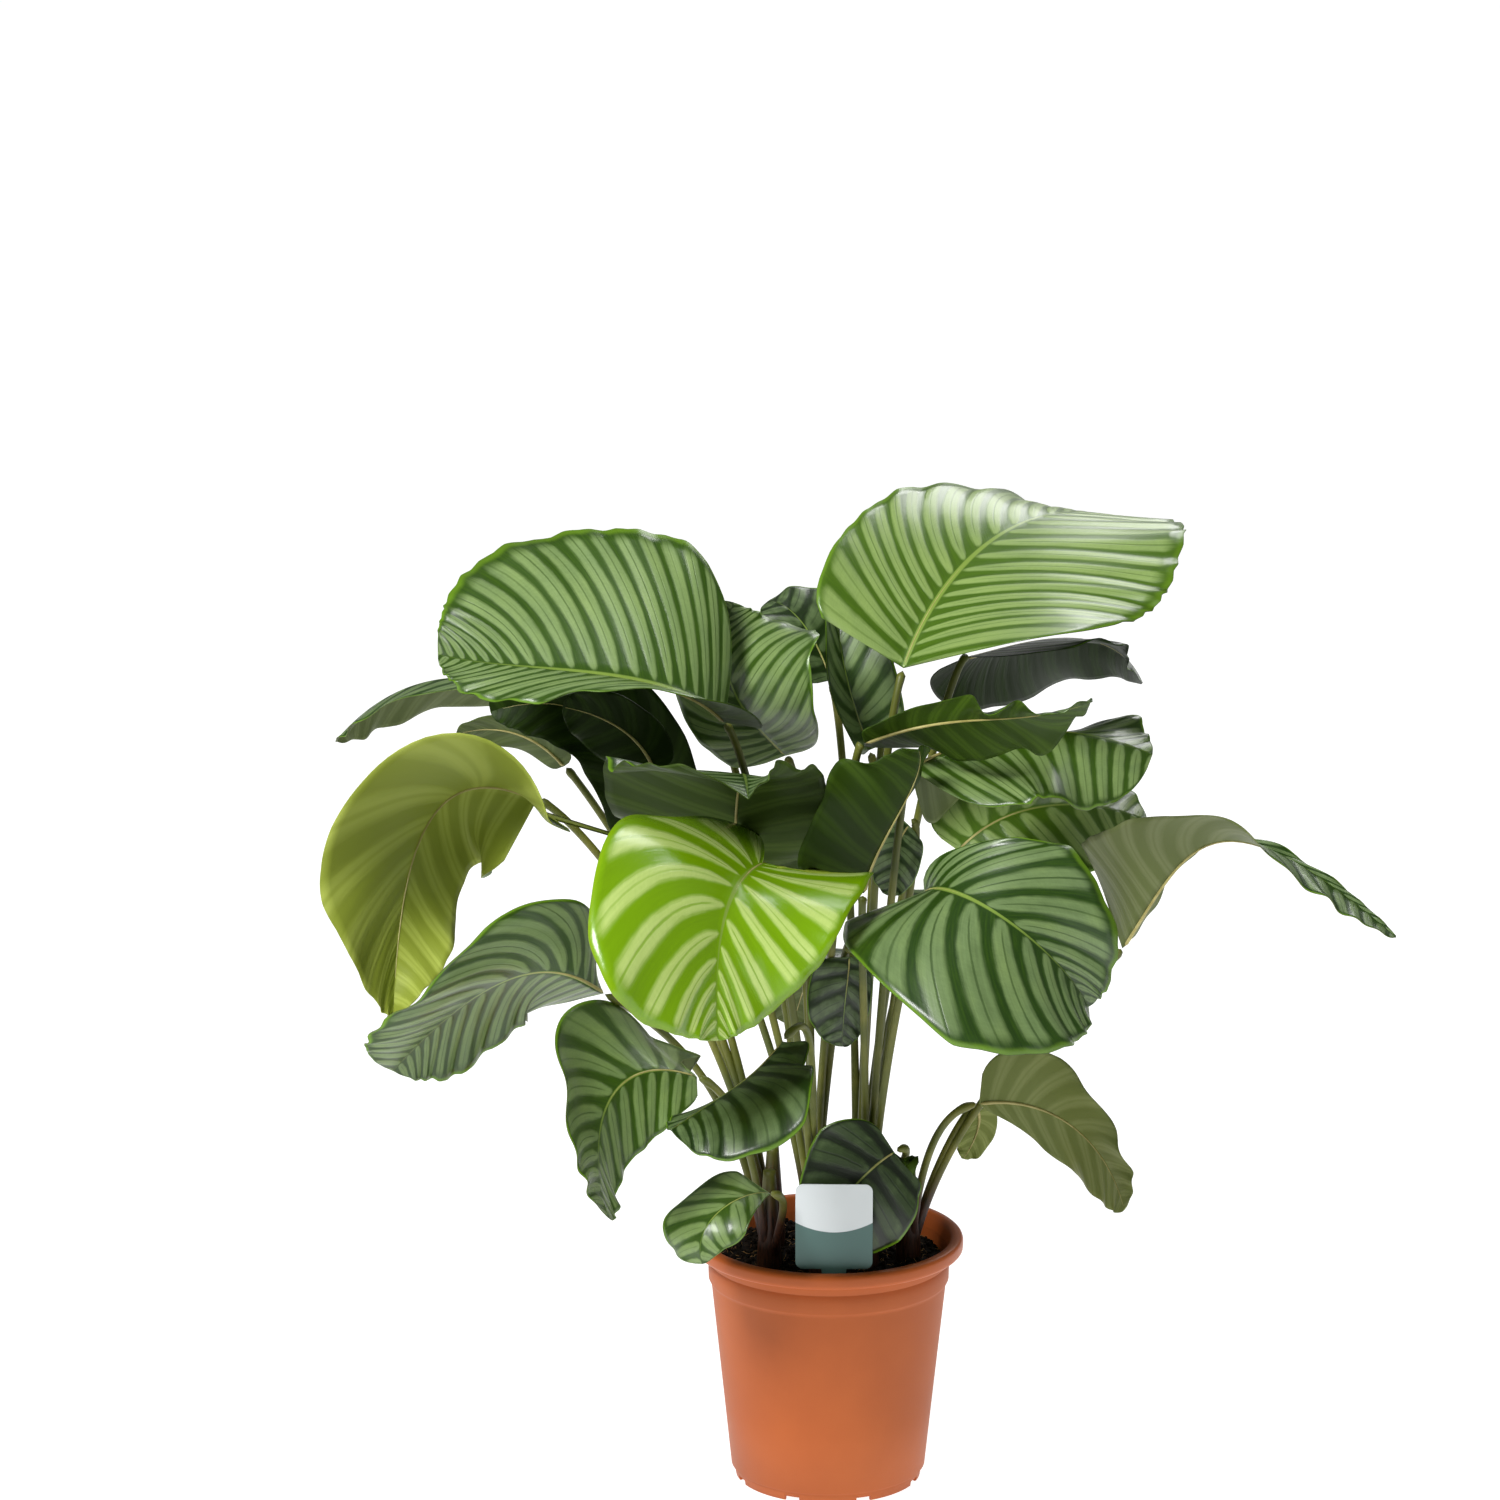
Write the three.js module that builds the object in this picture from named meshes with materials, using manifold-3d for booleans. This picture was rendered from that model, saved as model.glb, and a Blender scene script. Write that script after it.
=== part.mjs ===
// A calathea orbifolia in a 21 cm terracotta-coloured nursery pot. Millimetres, +Z up,
// origin at the centre of the pot's underside, the side seen in the photograph towards -Y.
import * as THREE from 'three';
import { mergeVertices } from 'three/addons/utils/BufferGeometryUtils.js';
import Module from 'manifold-3d';

// Driving dimensions
const POT_HEIGHT = 197;
const LIP_RADIUS = 105;
const COLLAR_RADIUS = 94;
const COLLAR_HEIGHT = 24;
const LIP_HEIGHT = 12;
const NECK_RADIUS = 92;
const BASE_RADIUS = 75;
const FOOT_HEIGHT = 8;
const GROOVE_RADIUS = 59;
const GROOVE_HEIGHT = 5;
const POT_WALL = 1.6;
const FLOOR_THICKNESS = 2.2;
const POT_SIDES = 36;
const BORE_LENGTH = 20;
const DRAIN_HOLES = 8;
const DRAIN_RADIUS = 4;
const DRAIN_CIRCLE = 48;
const DRAIN_SIDES = 10;
const NOTCH_LENGTH = 14;
const NOTCH_WIDTH = 12;
const NOTCH_HEIGHT = 4;
const SOIL_TOP = 180;
const SOIL_GAP = 0.3;
const SOIL_ROUGHNESS = 2.5;
const HOLE_GAP = 0.8;
const HOLE_SIDES = 12;
const TAG_WIDTH = 59;
const TAG_HEIGHT = 68;
const TAG_THICKNESS = 0.8;
const TAG_CORNER = 6;
const TAG_AT = [4, -88, 197];
const STAKE_WIDTH = 20;
const STAKE_LENGTH = 48;
const BLADE_THICKNESS = 0.8;
const BLADE_CELLS_ALONG = 12;
const BLADE_CELLS_ACROSS = 3;
const STALK_RADIUS = 3;
const STALK_TIP_RADIUS = 1.8;
const STALK_SIDES = 6;
const STALK_SHORT_OF_BLADE = 2;
const SHEATH_SIDES = 8;
const SHEATH_RADIUS = 10;
const SHEATH_DEPTH = 28;
const SHEATH_RISE = 75;

// Each shoot is a bundle of leaf stalks that come out of one brown sheath, standing in the soil here.
const SHOOTS = {
  shoot_back_left: [-44, 27],
  shoot_front_left: [-46, -35],
  shoot_front: [-8, -46],
  shoot_centre: [-12, 17],
  shoot_back_right: [23, 26],
  shoot_front_right: [29, -25],
  shoot_right: [62, -9],
};

// A leaf is a rib from the stalk's end to the tip, with half a blade on each side, left first as seen
// along the rib from above. rib holds the curve's four control points, face the way that the upper side
// looks at the stalk, half the widths, fold how far each half is raised from flat in degrees, curl how
// much it bends on its way out, and the _tip and _mid values the same at the tip and half way. twist
// turns the blade about its rib, wave is the margin's height, number of waves and start, lobe how far
// the blade reaches back beside the stalk, sweep how far the veins lean to the tip, broad and blunt
// the outline, pull how long the stalk runs in line with the rib before it meets the blade, and drop
// how far below the blade it ends.
const LEAVES = [
  { name: 'leaf_top_left', shoot: 'shoot_centre',
    rib: [[-80, -40, 615], [-115, -100, 675], [-240, -35, 650], [-295, -55, 670]],
    face: [0.2, -0.4, 0.9], half: [65, 135], fold: [30, 45], foldMid: [5, 40], foldTip: [-35, 20],
    curl: [0, -5], twist: [0, 5], lobe: [0, -0.05], sweep: [0.4, 0.45], broad: [0.65, 1.2],
    blunt: [2.2, 4.9], pull: 50 },
  { name: 'leaf_top_right', shoot: 'shoot_back_right',
    rib: [[55, -30, 655], [75, 10, 710], [140, 100, 785], [250, 145, 730]], face: [0.1, -0.8, 0.5],
    half: [90, 165], fold: [30, 45], foldMid: [5, 10], foldTip: [-25, 20], curl: [0, -15],
    twist: [15, 35], lobe: [-0.1, -0.1], sweep: [0.35, 0.45], broad: [0.55, 0.65], blunt: [5.2, 3.6],
    pull: 60 },
  { name: 'leaf_top_right_lower', shoot: 'shoot_back_right',
    rib: [[105, 35, 650], [140, 115, 640], [220, 150, 665], [245, 125, 610]], face: [0.1, 0.8, 0.6],
    half: [75, 90], fold: [-5, -15], foldMid: [-35, -10], foldTip: [10, -25], lobe: [-0.05, -0.05],
    sweep: [0.25, 0.3], broad: [0.8, 1.05], blunt: [2.4, 2.5] },
  { name: 'leaf_twisted', shoot: 'shoot_centre',
    rib: [[25, -85, 610], [100, -45, 630], [130, -175, 640], [190, -185, 665]], face: [0, 1, 0.1],
    half: [45, 20], fold: [40, 0], foldMid: [-20, 25], foldTip: [20, -10], twist: [-25, -70],
    wave: [6, 3, 0], lobe: [-0.1, 0.1], sweep: [0.05, 0.2], broad: [0.9, 1.1], blunt: [3.8, 3.8],
    pull: 12 },
  { name: 'leaf_right_shelf', shoot: 'shoot_front_right',
    rib: [[60, -60, 585], [130, 25, 605], [195, -20, 610], [245, -15, 585]], face: [-0.1, -0.1, 1],
    half: [70, 90], fold: [-85, -40], foldMid: [-30, -25], foldTip: [30, -50], twist: [10, 10],
    wave: [4, 2, 0], lobe: [0.05, 0], sweep: [0.4, 0.2], broad: [0.95, 0.9], blunt: [2.7, 3.1], pull: 8 },
  { name: 'leaf_centre_turned', shoot: 'shoot_front_right',
    rib: [[25, -90, 495], [30, -75, 530], [75, -75, 580], [65, -105, 610]], face: [-0.2, 1, 0],
    half: [20, 75], fold: [80, -10], foldMid: [80, -20], foldTip: [80, -10], twist: [-15, 10],
    wave: [4, 2, 0], lobe: [0.05, 0.1], sweep: [0.3, 0.4], broad: [0.85, 0.65], blunt: [2.3, 2.9],
    pull: 20, rise: [0, 5, 180] },
  { name: 'leaf_centre_narrow', shoot: 'shoot_front_right', small: true,
    rib: [[60, -40, 535], [50, -40, 525], [50, -40, 505], [45, -40, 480]], face: [0, -0.9, 0.3],
    half: [20, 20], pull: 25, drop: 2 },
  { name: 'leaf_crown_left', shoot: 'shoot_centre',
    rib: [[-35, 40, 570], [-60, 5, 605], [-95, 0, 635], [-75, 45, 690]], face: [-0.2, -1, 0],
    half: [45, 90], fold: [10, 10], foldMid: [10, 30], foldTip: [10, -15], twist: [10, -10],
    lobe: [0.05, -0.1], sweep: [0.4, 0.45], broad: [0.85, 1.15], blunt: [2.3, 2.4] },
  { name: 'leaf_crown_narrow', shoot: 'shoot_back_right',
    rib: [[30, 40, 575], [15, 40, 615], [5, 50, 650], [5, 70, 685]], face: [0.5, -0.8, 0.1],
    half: [35, 40], fold: [40, 40], sweep: [0.4, 0.4] },
  { name: 'leaf_crown_back', shoot: 'shoot_back_right',
    rib: [[0, 130, 610], [-10, 140, 640], [-30, 150, 670], [-50, 170, 665]], face: [0.2, -0.5, 0.8],
    half: [35, 45] },
  { name: 'leaf_centre_cupped', shoot: 'shoot_front',
    rib: [[-70, -40, 490], [-75, -85, 565], [-65, -25, 600], [-60, -180, 590]], face: [0, 1, 0.1],
    half: [70, 105], fold: [45, 30], foldMid: [-10, 0], foldTip: [45, 45], twist: [20, -20],
    wave: [4, 3, 0], lobe: [0.3, 0.1], sweep: [0.35, 0.2], broad: [0.6, 0.85], blunt: [2.3, 3] },
  { name: 'leaf_lime', shoot: 'shoot_front',
    rib: [[-50, -135, 530], [-75, -240, 545], [-85, -260, 505], [-80, -280, 435]],
    face: [0.3, -0.6, 0.7], half: [85, 115], fold: [15, 5], foldMid: [10, 10], foldTip: [10, 15],
    curl: [20, -30], twist: [-5, 20], lobe: [0.4, 0.6], sweep: [0.45, 0.45], broad: [0.75, 2.1],
    blunt: [2.4, 2], pull: 30, drop: 2.5 },
  { name: 'leaf_right_broad', shoot: 'shoot_front_right',
    rib: [[70, -125, 505], [85, -250, 555], [165, -230, 495], [190, -205, 440]], face: [-0.3, -0.5, 0.8],
    half: [80, 115], fold: [70, 15], foldMid: [-5, 10], foldTip: [20, 55], curl: [5, -5],
    twist: [0, -20], lobe: [-0.1, 0.35], sweep: [0.45, 0.4], broad: [1.3, 1.55], blunt: [1.3, 1.3],
    drop: 2.5 },
  { name: 'leaf_right_reaching', shoot: 'shoot_right',
    rib: [[225, -5, 430], [270, -75, 530], [285, -35, 575], [425, -100, 465]], face: [0.4, 0.9, 0.2],
    half: [10, 70], fold: [80, 45], foldMid: [60, -15], foldTip: [80, -5], twist: [0, -85],
    lobe: [0.05, -0.1], sweep: [0.15, 0.15], broad: [0.35, 0.35], blunt: [1.7, 1.3] },
  { name: 'leaf_left_hanging', shoot: 'shoot_back_left',
    rib: [[-225, 0, 545], [-315, -10, 590], [-330, -25, 495], [-330, -100, 395]], face: [0.1, 0.9, 0.4],
    half: [125, 85], fold: [-60, -55], foldMid: [-15, 10], foldTip: [-25, -90], curl: [15, -20],
    twist: [5, -15], lobe: [0.25, -0.1], sweep: [0.45, 0.25], broad: [0.7, 0.4], blunt: [1.3, 1.3] },
  { name: 'leaf_left_low', shoot: 'shoot_front_left',
    rib: [[-170, -105, 420], [-185, -145, 440], [-225, -160, 490], [-325, -160, 375]],
    face: [0.4, -0.9, -0.1], half: [65, 70], fold: [-60, -40], foldMid: [-25, 35], foldTip: [20, 5],
    curl: [10, -30], twist: [-15, 30], lobe: [0.1, 0], sweep: [0.4, 0.35], broad: [1.2, 1.65],
    blunt: [3, 4.5], pull: 205 },
  { name: 'leaf_front_left_drooping', shoot: 'shoot_front_left',
    rib: [[-100, -105, 355], [-155, -150, 390], [-185, -200, 360], [-160, -290, 305]],
    face: [-0.1, -0.7, 0.7], half: [50, 70], fold: [-15, -25], foldMid: [-20, 5], foldTip: [0, -5],
    curl: [0, 20], twist: [-20, 20], lobe: [-0.05, 0.4], sweep: [0.25, 0.35], broad: [0.75, 0.75],
    blunt: [1.9, 3.3] },
  { name: 'leaf_front_crescent', shoot: 'shoot_front',
    rib: [[-35, -145, 395], [-60, -150, 365], [-65, -200, 380], [-115, -255, 360]], face: [0, -0.7, 0.7],
    half: [75, 30], fold: [5, -60], foldMid: [25, -60], foldTip: [-5, -60], twist: [-25, 20],
    lobe: [0.25, 0.1], sweep: [0.35, 0.3], broad: [1.4, 0.85], blunt: [1.3, 2.3], rise: [-8, 12, 180] },
  { name: 'leaf_front_small', shoot: 'shoot_front_left', small: true,
    rib: [[-45, -110, 265], [-65, -130, 275], [-105, -160, 260], [-95, -160, 225]],
    face: [-0.1, -0.5, 0.9], half: [30, 50], fold: [15, 0], foldMid: [-5, -20], foldTip: [-25, -15],
    twist: [-10, -5], lobe: [-0.05, 0.15], sweep: [0.3, 0.3], broad: [1.3, 1], blunt: [1.3, 3.2],
    pull: 30, rise: [5, -5, 50] },
  { name: 'leaf_behind_tag', shoot: 'shoot_front_right',
    rib: [[50, -70, 285], [30, -75, 275], [10, -80, 250], [-15, -80, 220]], face: [0, -1, 0.1],
    half: [55, 50], foldMid: [0, 0], foldTip: [0, 0], twist: [-10, 0], lobe: [0.2, 0],
    sweep: [0.25, 0.3], broad: [1.05, 0.6], blunt: [2, 1.3], pull: 30 },
  { name: 'leaf_right_low', shoot: 'shoot_right',
    rib: [[115, -40, 315], [160, -15, 315], [210, -40, 300], [225, -100, 250]], face: [0, 1, 0.3],
    half: [40, 60], fold: [-10, 10], foldMid: [5, -20], foldTip: [-10, 15], twist: [10, -10],
    lobe: [-0.05, 0], sweep: [0.3, 0.3], broad: [1.3, 0.65], blunt: [1.3, 1.3] },
  { name: 'leaf_right_bud', shoot: 'shoot_right', small: true,
    rib: [[115, 10, 295], [120, 20, 285], [115, 25, 265], [105, 25, 250]], face: [0, 0.9, 0.3],
    half: [15, 15], pull: 20 },
  { name: 'leaf_far_left', shoot: 'shoot_back_left',
    rib: [[-215, 150, 595], [-280, 160, 610], [-340, 170, 615], [-395, 170, 550]], face: [0, 0.3, 1],
    half: [40, 40], fold: [-20, -30] },
  { name: 'leaf_left_rolled', shoot: 'shoot_back_left',
    rib: [[-140, 90, 480], [-150, 80, 575], [-185, 80, 620], [-265, 80, 595]], face: [-0.1, 0.5, 0.8],
    half: [50, 40], fold: [0, -40] },
  { name: 'leaf_left_sliver', shoot: 'shoot_back_left', small: true,
    rib: [[-210, 130, 540], [-235, 130, 570], [-270, 130, 575], [-295, 130, 565]], face: [0, 0.6, 0.8],
    half: [20, 20] },
  { name: 'leaf_under_top_left', shoot: 'shoot_centre', small: true,
    rib: [[-135, 10, 565], [-145, 10, 595], [-175, 10, 610], [-205, 10, 615]], face: [0, 0.9, 0.4],
    half: [25, 30] },
  { name: 'leaf_right_lit', shoot: 'shoot_back_right',
    rib: [[100, 80, 485], [135, 100, 520], [195, 110, 525], [250, 120, 500]], face: [0, -0.3, 0.9],
    half: [60, 70], fold: [0, -20] },
  { name: 'leaf_inner_round', shoot: 'shoot_centre', small: true,
    rib: [[15, -35, 430], [15, -40, 415], [10, -40, 390], [10, -40, 360]], face: [0, -1, 0.1],
    half: [20, 30] },
  { name: 'leaf_back_left', shoot: 'shoot_centre',
    rib: [[-45, 110, 455], [-90, 150, 465], [-120, 200, 430], [-145, 220, 350]], face: [0, 0, 1],
    half: [60, 60], curl: [-20, -20] },
  { name: 'leaf_back_right', shoot: 'shoot_back_right',
    rib: [[85, 110, 435], [120, 150, 450], [155, 210, 410], [170, 230, 330]], face: [0, 0, 1],
    half: [60, 60], curl: [-20, -20] },
  { name: 'leaf_back_upper_left', shoot: 'shoot_centre',
    rib: [[-105, 120, 630], [-125, 150, 655], [-160, 190, 655], [-195, 230, 610]], face: [0, 0, 1],
    half: [50, 55], curl: [-20, -20] },
  { name: 'leaf_back_upper_right', shoot: 'shoot_back_right',
    rib: [[55, 155, 650], [70, 195, 660], [95, 250, 665], [115, 310, 620]], face: [0, 0, 1],
    half: [50, 50], curl: [-20, -20] },
  { name: 'leaf_back_low', shoot: 'shoot_centre',
    rib: [[0, 80, 395], [-5, 120, 410], [-15, 190, 365], [-30, 210, 305]], face: [0, 0, 1],
    half: [45, 45], curl: [-20, -20] },
];
const LEAF_DEFAULTS = {
  fold: [0, 0], curl: [0, 0], twist: [0, 0], wave: [0, 3, 0], lobe: [0.06, 0.06],
  sweep: [0.3, 0.3], broad: [0.85, 0.85], blunt: [2.3, 2.3], pull: 45, drop: 0,
};
const SMALL_CELLS_ALONG = 9;
const SMALL_CELLS_ACROSS = 2;

const MATERIALS = {
  leaf: new THREE.MeshStandardMaterial({ color: 0x5f8a4c, roughness: 0.35, metalness: 0 }),
  lime: new THREE.MeshStandardMaterial({ color: 0x9ac23a, roughness: 0.35, metalness: 0 }),
  stalk: new THREE.MeshStandardMaterial({ color: 0x7a7a35, roughness: 0.5, metalness: 0 }),
  pot: new THREE.MeshStandardMaterial({ color: 0xbe6941, roughness: 0.6, metalness: 0 }),
  soil: new THREE.MeshStandardMaterial({ color: 0x241a13, roughness: 1, metalness: 0 }),
  tag: new THREE.MeshStandardMaterial({ color: 0xe8eceb, roughness: 0.4, metalness: 0 }),
};

const wasm = await Module();
wasm.setup();

// Points that coincide are joined and the triangles that this leaves flat are dropped.
function welded(geometry) {
  const bare = geometry.clone();
  bare.deleteAttribute('normal');
  bare.deleteAttribute('uv');
  const merged = mergeVertices(bare, 1e-3);
  const corners = merged.index.array;
  const kept = [];
  for (let i = 0; i < corners.length; i += 3) {
    const [a, b, c] = corners.slice(i, i + 3);
    if (a !== b && b !== c && c !== a) {
      kept.push(a, b, c);
    }
  }
  merged.setIndex(kept);
  return merged;
}

function toSolid(geometry) {
  const closed = welded(geometry);
  const vertProperties = new Float32Array(closed.attributes.position.array);
  const triVerts = new Uint32Array(closed.index.array);
  return new wasm.Manifold(new wasm.Mesh({ numProp: 3, vertProperties, triVerts }));
}

function toGeometry(solid) {
  const mesh = solid.getMesh();
  const geometry = new THREE.BufferGeometry();
  geometry.setAttribute('position', new THREE.BufferAttribute(mesh.vertProperties, 3));
  geometry.setIndex(new THREE.BufferAttribute(mesh.triVerts, 1));
  return geometry;
}

// A profile of [radius, height] pairs turned round +Z
function turned(profile, sides) {
  const points = profile.map(([radius, height]) => new THREE.Vector2(radius, height));
  return new THREE.LatheGeometry(points, sides).rotateX(Math.PI / 2);
}

function potRadius(height) {
  return BASE_RADIUS + (NECK_RADIUS - BASE_RADIUS) * height / (POT_HEIGHT - LIP_HEIGHT - COLLAR_HEIGHT);
}

// The pot is one moulded shell: foot ring, tapered wall, collar band and a rolled lip.
function potGeometry() {
  const collarFoot = POT_HEIGHT - LIP_HEIGHT - COLLAR_HEIGHT;
  const lipFoot = POT_HEIGHT - LIP_HEIGHT;
  const outside = [
    [0, 0], [GROOVE_RADIUS - 1, 0], [GROOVE_RADIUS + 1, GROOVE_HEIGHT], [BASE_RADIUS - 6, GROOVE_HEIGHT],
    [BASE_RADIUS - 5, 0], [BASE_RADIUS - 3, 0],
    [BASE_RADIUS - 1.5, FOOT_HEIGHT], [potRadius(10), 10], [NECK_RADIUS, collarFoot],
    [COLLAR_RADIUS, collarFoot + 2], [COLLAR_RADIUS + 0.5, lipFoot], [LIP_RADIUS - 3, lipFoot + 0.5],
    [LIP_RADIUS, lipFoot + 3.5], [LIP_RADIUS, POT_HEIGHT - 4], [LIP_RADIUS - 3, POT_HEIGHT - 0.6],
  ];
  const inside = [
    [LIP_RADIUS - 6, POT_HEIGHT], [LIP_RADIUS - 9, POT_HEIGHT - 2], [COLLAR_RADIUS - POT_WALL, lipFoot - 1],
    [COLLAR_RADIUS - 0.5 - POT_WALL, collarFoot + 2], [NECK_RADIUS - POT_WALL, collarFoot],
    [potRadius(10) - POT_WALL - 0.5, GROOVE_HEIGHT + FLOOR_THICKNESS],
    [GROOVE_RADIUS, GROOVE_HEIGHT + FLOOR_THICKNESS], [GROOVE_RADIUS - 2, FLOOR_THICKNESS],
    [0, FLOOR_THICKNESS],
  ];
  let pot = toSolid(turned([...outside, ...inside], POT_SIDES));
  for (let i = 0; i < DRAIN_HOLES; i++) {
    const angle = (i + 0.5) * 2 * Math.PI / DRAIN_HOLES;
    const drain = new THREE.CylinderGeometry(DRAIN_RADIUS, DRAIN_RADIUS, BORE_LENGTH, DRAIN_SIDES);
    drain.rotateX(Math.PI / 2).translate(DRAIN_CIRCLE, 0, 0).rotateZ(angle);
    const notch = new THREE.BoxGeometry(NOTCH_LENGTH, NOTCH_WIDTH, 2 * NOTCH_HEIGHT);
    notch.translate(BASE_RADIUS - 3, 0, 0).rotateZ(angle);
    pot = pot.subtract(toSolid(drain)).subtract(toSolid(notch));
  }
  return toGeometry(pot);
}

// The soil fills the pot to just under the lip, with a plain round hole for each sheath and a slot
// for the tag's stake.
function soilGeometry() {
  const collarFoot = POT_HEIGHT - LIP_HEIGHT - COLLAR_HEIGHT;
  const wall = POT_WALL + SOIL_GAP + 0.5;
  const floor = FLOOR_THICKNESS + SOIL_GAP;
  const profile = [
    [0, floor], [GROOVE_RADIUS - 3, floor], [GROOVE_RADIUS - 1, floor + GROOVE_HEIGHT],
    [potRadius(10) - wall - 1, floor + GROOVE_HEIGHT], [NECK_RADIUS - wall, collarFoot],
    [NECK_RADIUS - wall, SOIL_TOP - 1], [82, SOIL_TOP - 0.5], [66, SOIL_TOP], [46, SOIL_TOP + 1],
    [24, SOIL_TOP + 1.5], [0, SOIL_TOP + 2],
  ];
  const body = welded(turned(profile, POT_SIDES));
  const places = body.attributes.position;
  for (let i = 0; i < places.count; i++) {
    const [x, y, z] = [places.getX(i), places.getY(i), places.getZ(i)];
    if (z > SOIL_TOP - 0.7 && Math.hypot(x, y) < 80) {
      places.setZ(i, z + SOIL_ROUGHNESS * Math.sin(x / 7 + 1) * Math.cos(y / 6));
    }
  }
  let soil = toSolid(body);
  for (const [x, y] of Object.values(SHOOTS)) {
    const depth = SHEATH_DEPTH + 0.5;
    const length = depth + BORE_LENGTH;
    const radius = SHEATH_RADIUS + HOLE_GAP;
    const hole = new THREE.CylinderGeometry(radius, radius, length, HOLE_SIDES).rotateX(Math.PI / 2);
    hole.translate(x, y, SOIL_TOP - depth + length / 2);
    soil = soil.subtract(toSolid(hole));
  }
  const slotFoot = TAG_AT[2] - STAKE_LENGTH - 0.5;
  const slotHeight = STAKE_LENGTH + 12;
  const slot = new THREE.BoxGeometry(STAKE_WIDTH + 1, TAG_THICKNESS + HOLE_GAP, slotHeight);
  slot.translate(TAG_AT[0], TAG_AT[1] + TAG_THICKNESS / 2, slotFoot + slotHeight / 2);
  return toGeometry(soil.subtract(toSolid(slot)));
}

// The plant tag is a plain stiff card with rounded corners on a tapered stake.
function tagGeometry() {
  const [side, stake] = [TAG_WIDTH / 2, STAKE_WIDTH / 2];
  const outline = new THREE.Shape();
  outline.moveTo(stake, 0);
  outline.lineTo(side - TAG_CORNER, 0);
  outline.absarc(side - TAG_CORNER, TAG_CORNER, TAG_CORNER, -Math.PI / 2, 0);
  outline.absarc(side - TAG_CORNER, TAG_HEIGHT - TAG_CORNER, TAG_CORNER, 0, Math.PI / 2);
  outline.absarc(TAG_CORNER - side, TAG_HEIGHT - TAG_CORNER, TAG_CORNER, Math.PI / 2, Math.PI);
  outline.absarc(TAG_CORNER - side, TAG_CORNER, TAG_CORNER, Math.PI, 1.5 * Math.PI);
  outline.lineTo(-stake, 0);
  outline.lineTo(-stake / 3, -STAKE_LENGTH);
  outline.lineTo(stake / 3, -STAKE_LENGTH);
  outline.closePath();
  const extrusion = { depth: TAG_THICKNESS, bevelEnabled: false, curveSegments: 4 };
  const card = new THREE.ExtrudeGeometry(outline, extrusion);
  return card.rotateX(Math.PI / 2).translate(0, TAG_THICKNESS, 0);
}

// Directions along a rib: the tangent, and the upper side's normal carried along without turning
const RIB_STEPS = 60;

function ribOf(leaf) {
  const curve = new THREE.CubicBezierCurve3(...leaf.rib.map((point) => new THREE.Vector3(...point)));
  const normals = [];
  let normal = new THREE.Vector3(...leaf.face);
  for (let i = 0; i <= RIB_STEPS; i++) {
    const tangent = curve.getTangentAt(i / RIB_STEPS);
    normal = normal.clone().addScaledVector(tangent, -normal.dot(tangent)).normalize();
    normals.push(normal);
  }
  return { curve, normals, length: curve.getLength() };
}

function ribNormal(rib, share) {
  const step = Math.min(Math.floor(share * RIB_STEPS), RIB_STEPS - 1);
  return rib.normals[step].clone().lerp(rib.normals[step + 1], share * RIB_STEPS - step).normalize();
}

// A value that runs from the stalk's end to the tip, through a middle value where there is one
function along(leaf, key, side, share) {
  const start = leaf[key][side];
  const end = (leaf[`${key}Tip`] ?? leaf[key])[side];
  const middle = leaf[`${key}Mid`];
  if (!middle) {
    return THREE.MathUtils.degToRad(start + (end - start) * share);
  }
  const bend = start * (1 - share) * (1 - 2 * share) + 4 * middle[side] * share * (1 - share);
  return THREE.MathUtils.degToRad(bend + end * share * (2 * share - 1));
}

// How the veins straighten towards the tip, the shares of the rib over which the lobe beside the stalk
// grows and fades, and how far the waves of the right half lag behind the left half's
const SWEEP_EASE = 0.35;
const LOBE_BEGIN = 0.08;
const LOBE_END = 0.35;
const WAVE_SHIFT = 0.37;

// The flat place of a point on half a blade: vein says where its vein leaves the rib, out how far along
// the vein it is on the way to the margin.
function flatPlace(leaf, side, length, vein, out) {
  const reach = vein + leaf.sweep[side] * Math.sin(Math.PI * vein) * (1 - SWEEP_EASE * vein);
  const round = Math.abs(2 * Math.min(reach, 1) ** leaf.broad[side] - 1) ** leaf.blunt[side];
  const begin = Math.sin(Math.PI / 2 * Math.min(vein / LOBE_BEGIN, 1));
  const back = begin * Math.cos(Math.PI / 2 * Math.min(vein / LOBE_END, 1)) ** 2;
  return {
    across: leaf.half[side] * Math.sqrt(Math.max(1 - round, 0)) * out,
    up: length * (vein + (reach - vein) * (0.6 * out + 0.4 * out * out) - leaf.lobe[side] * back * out),
  };
}

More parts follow.
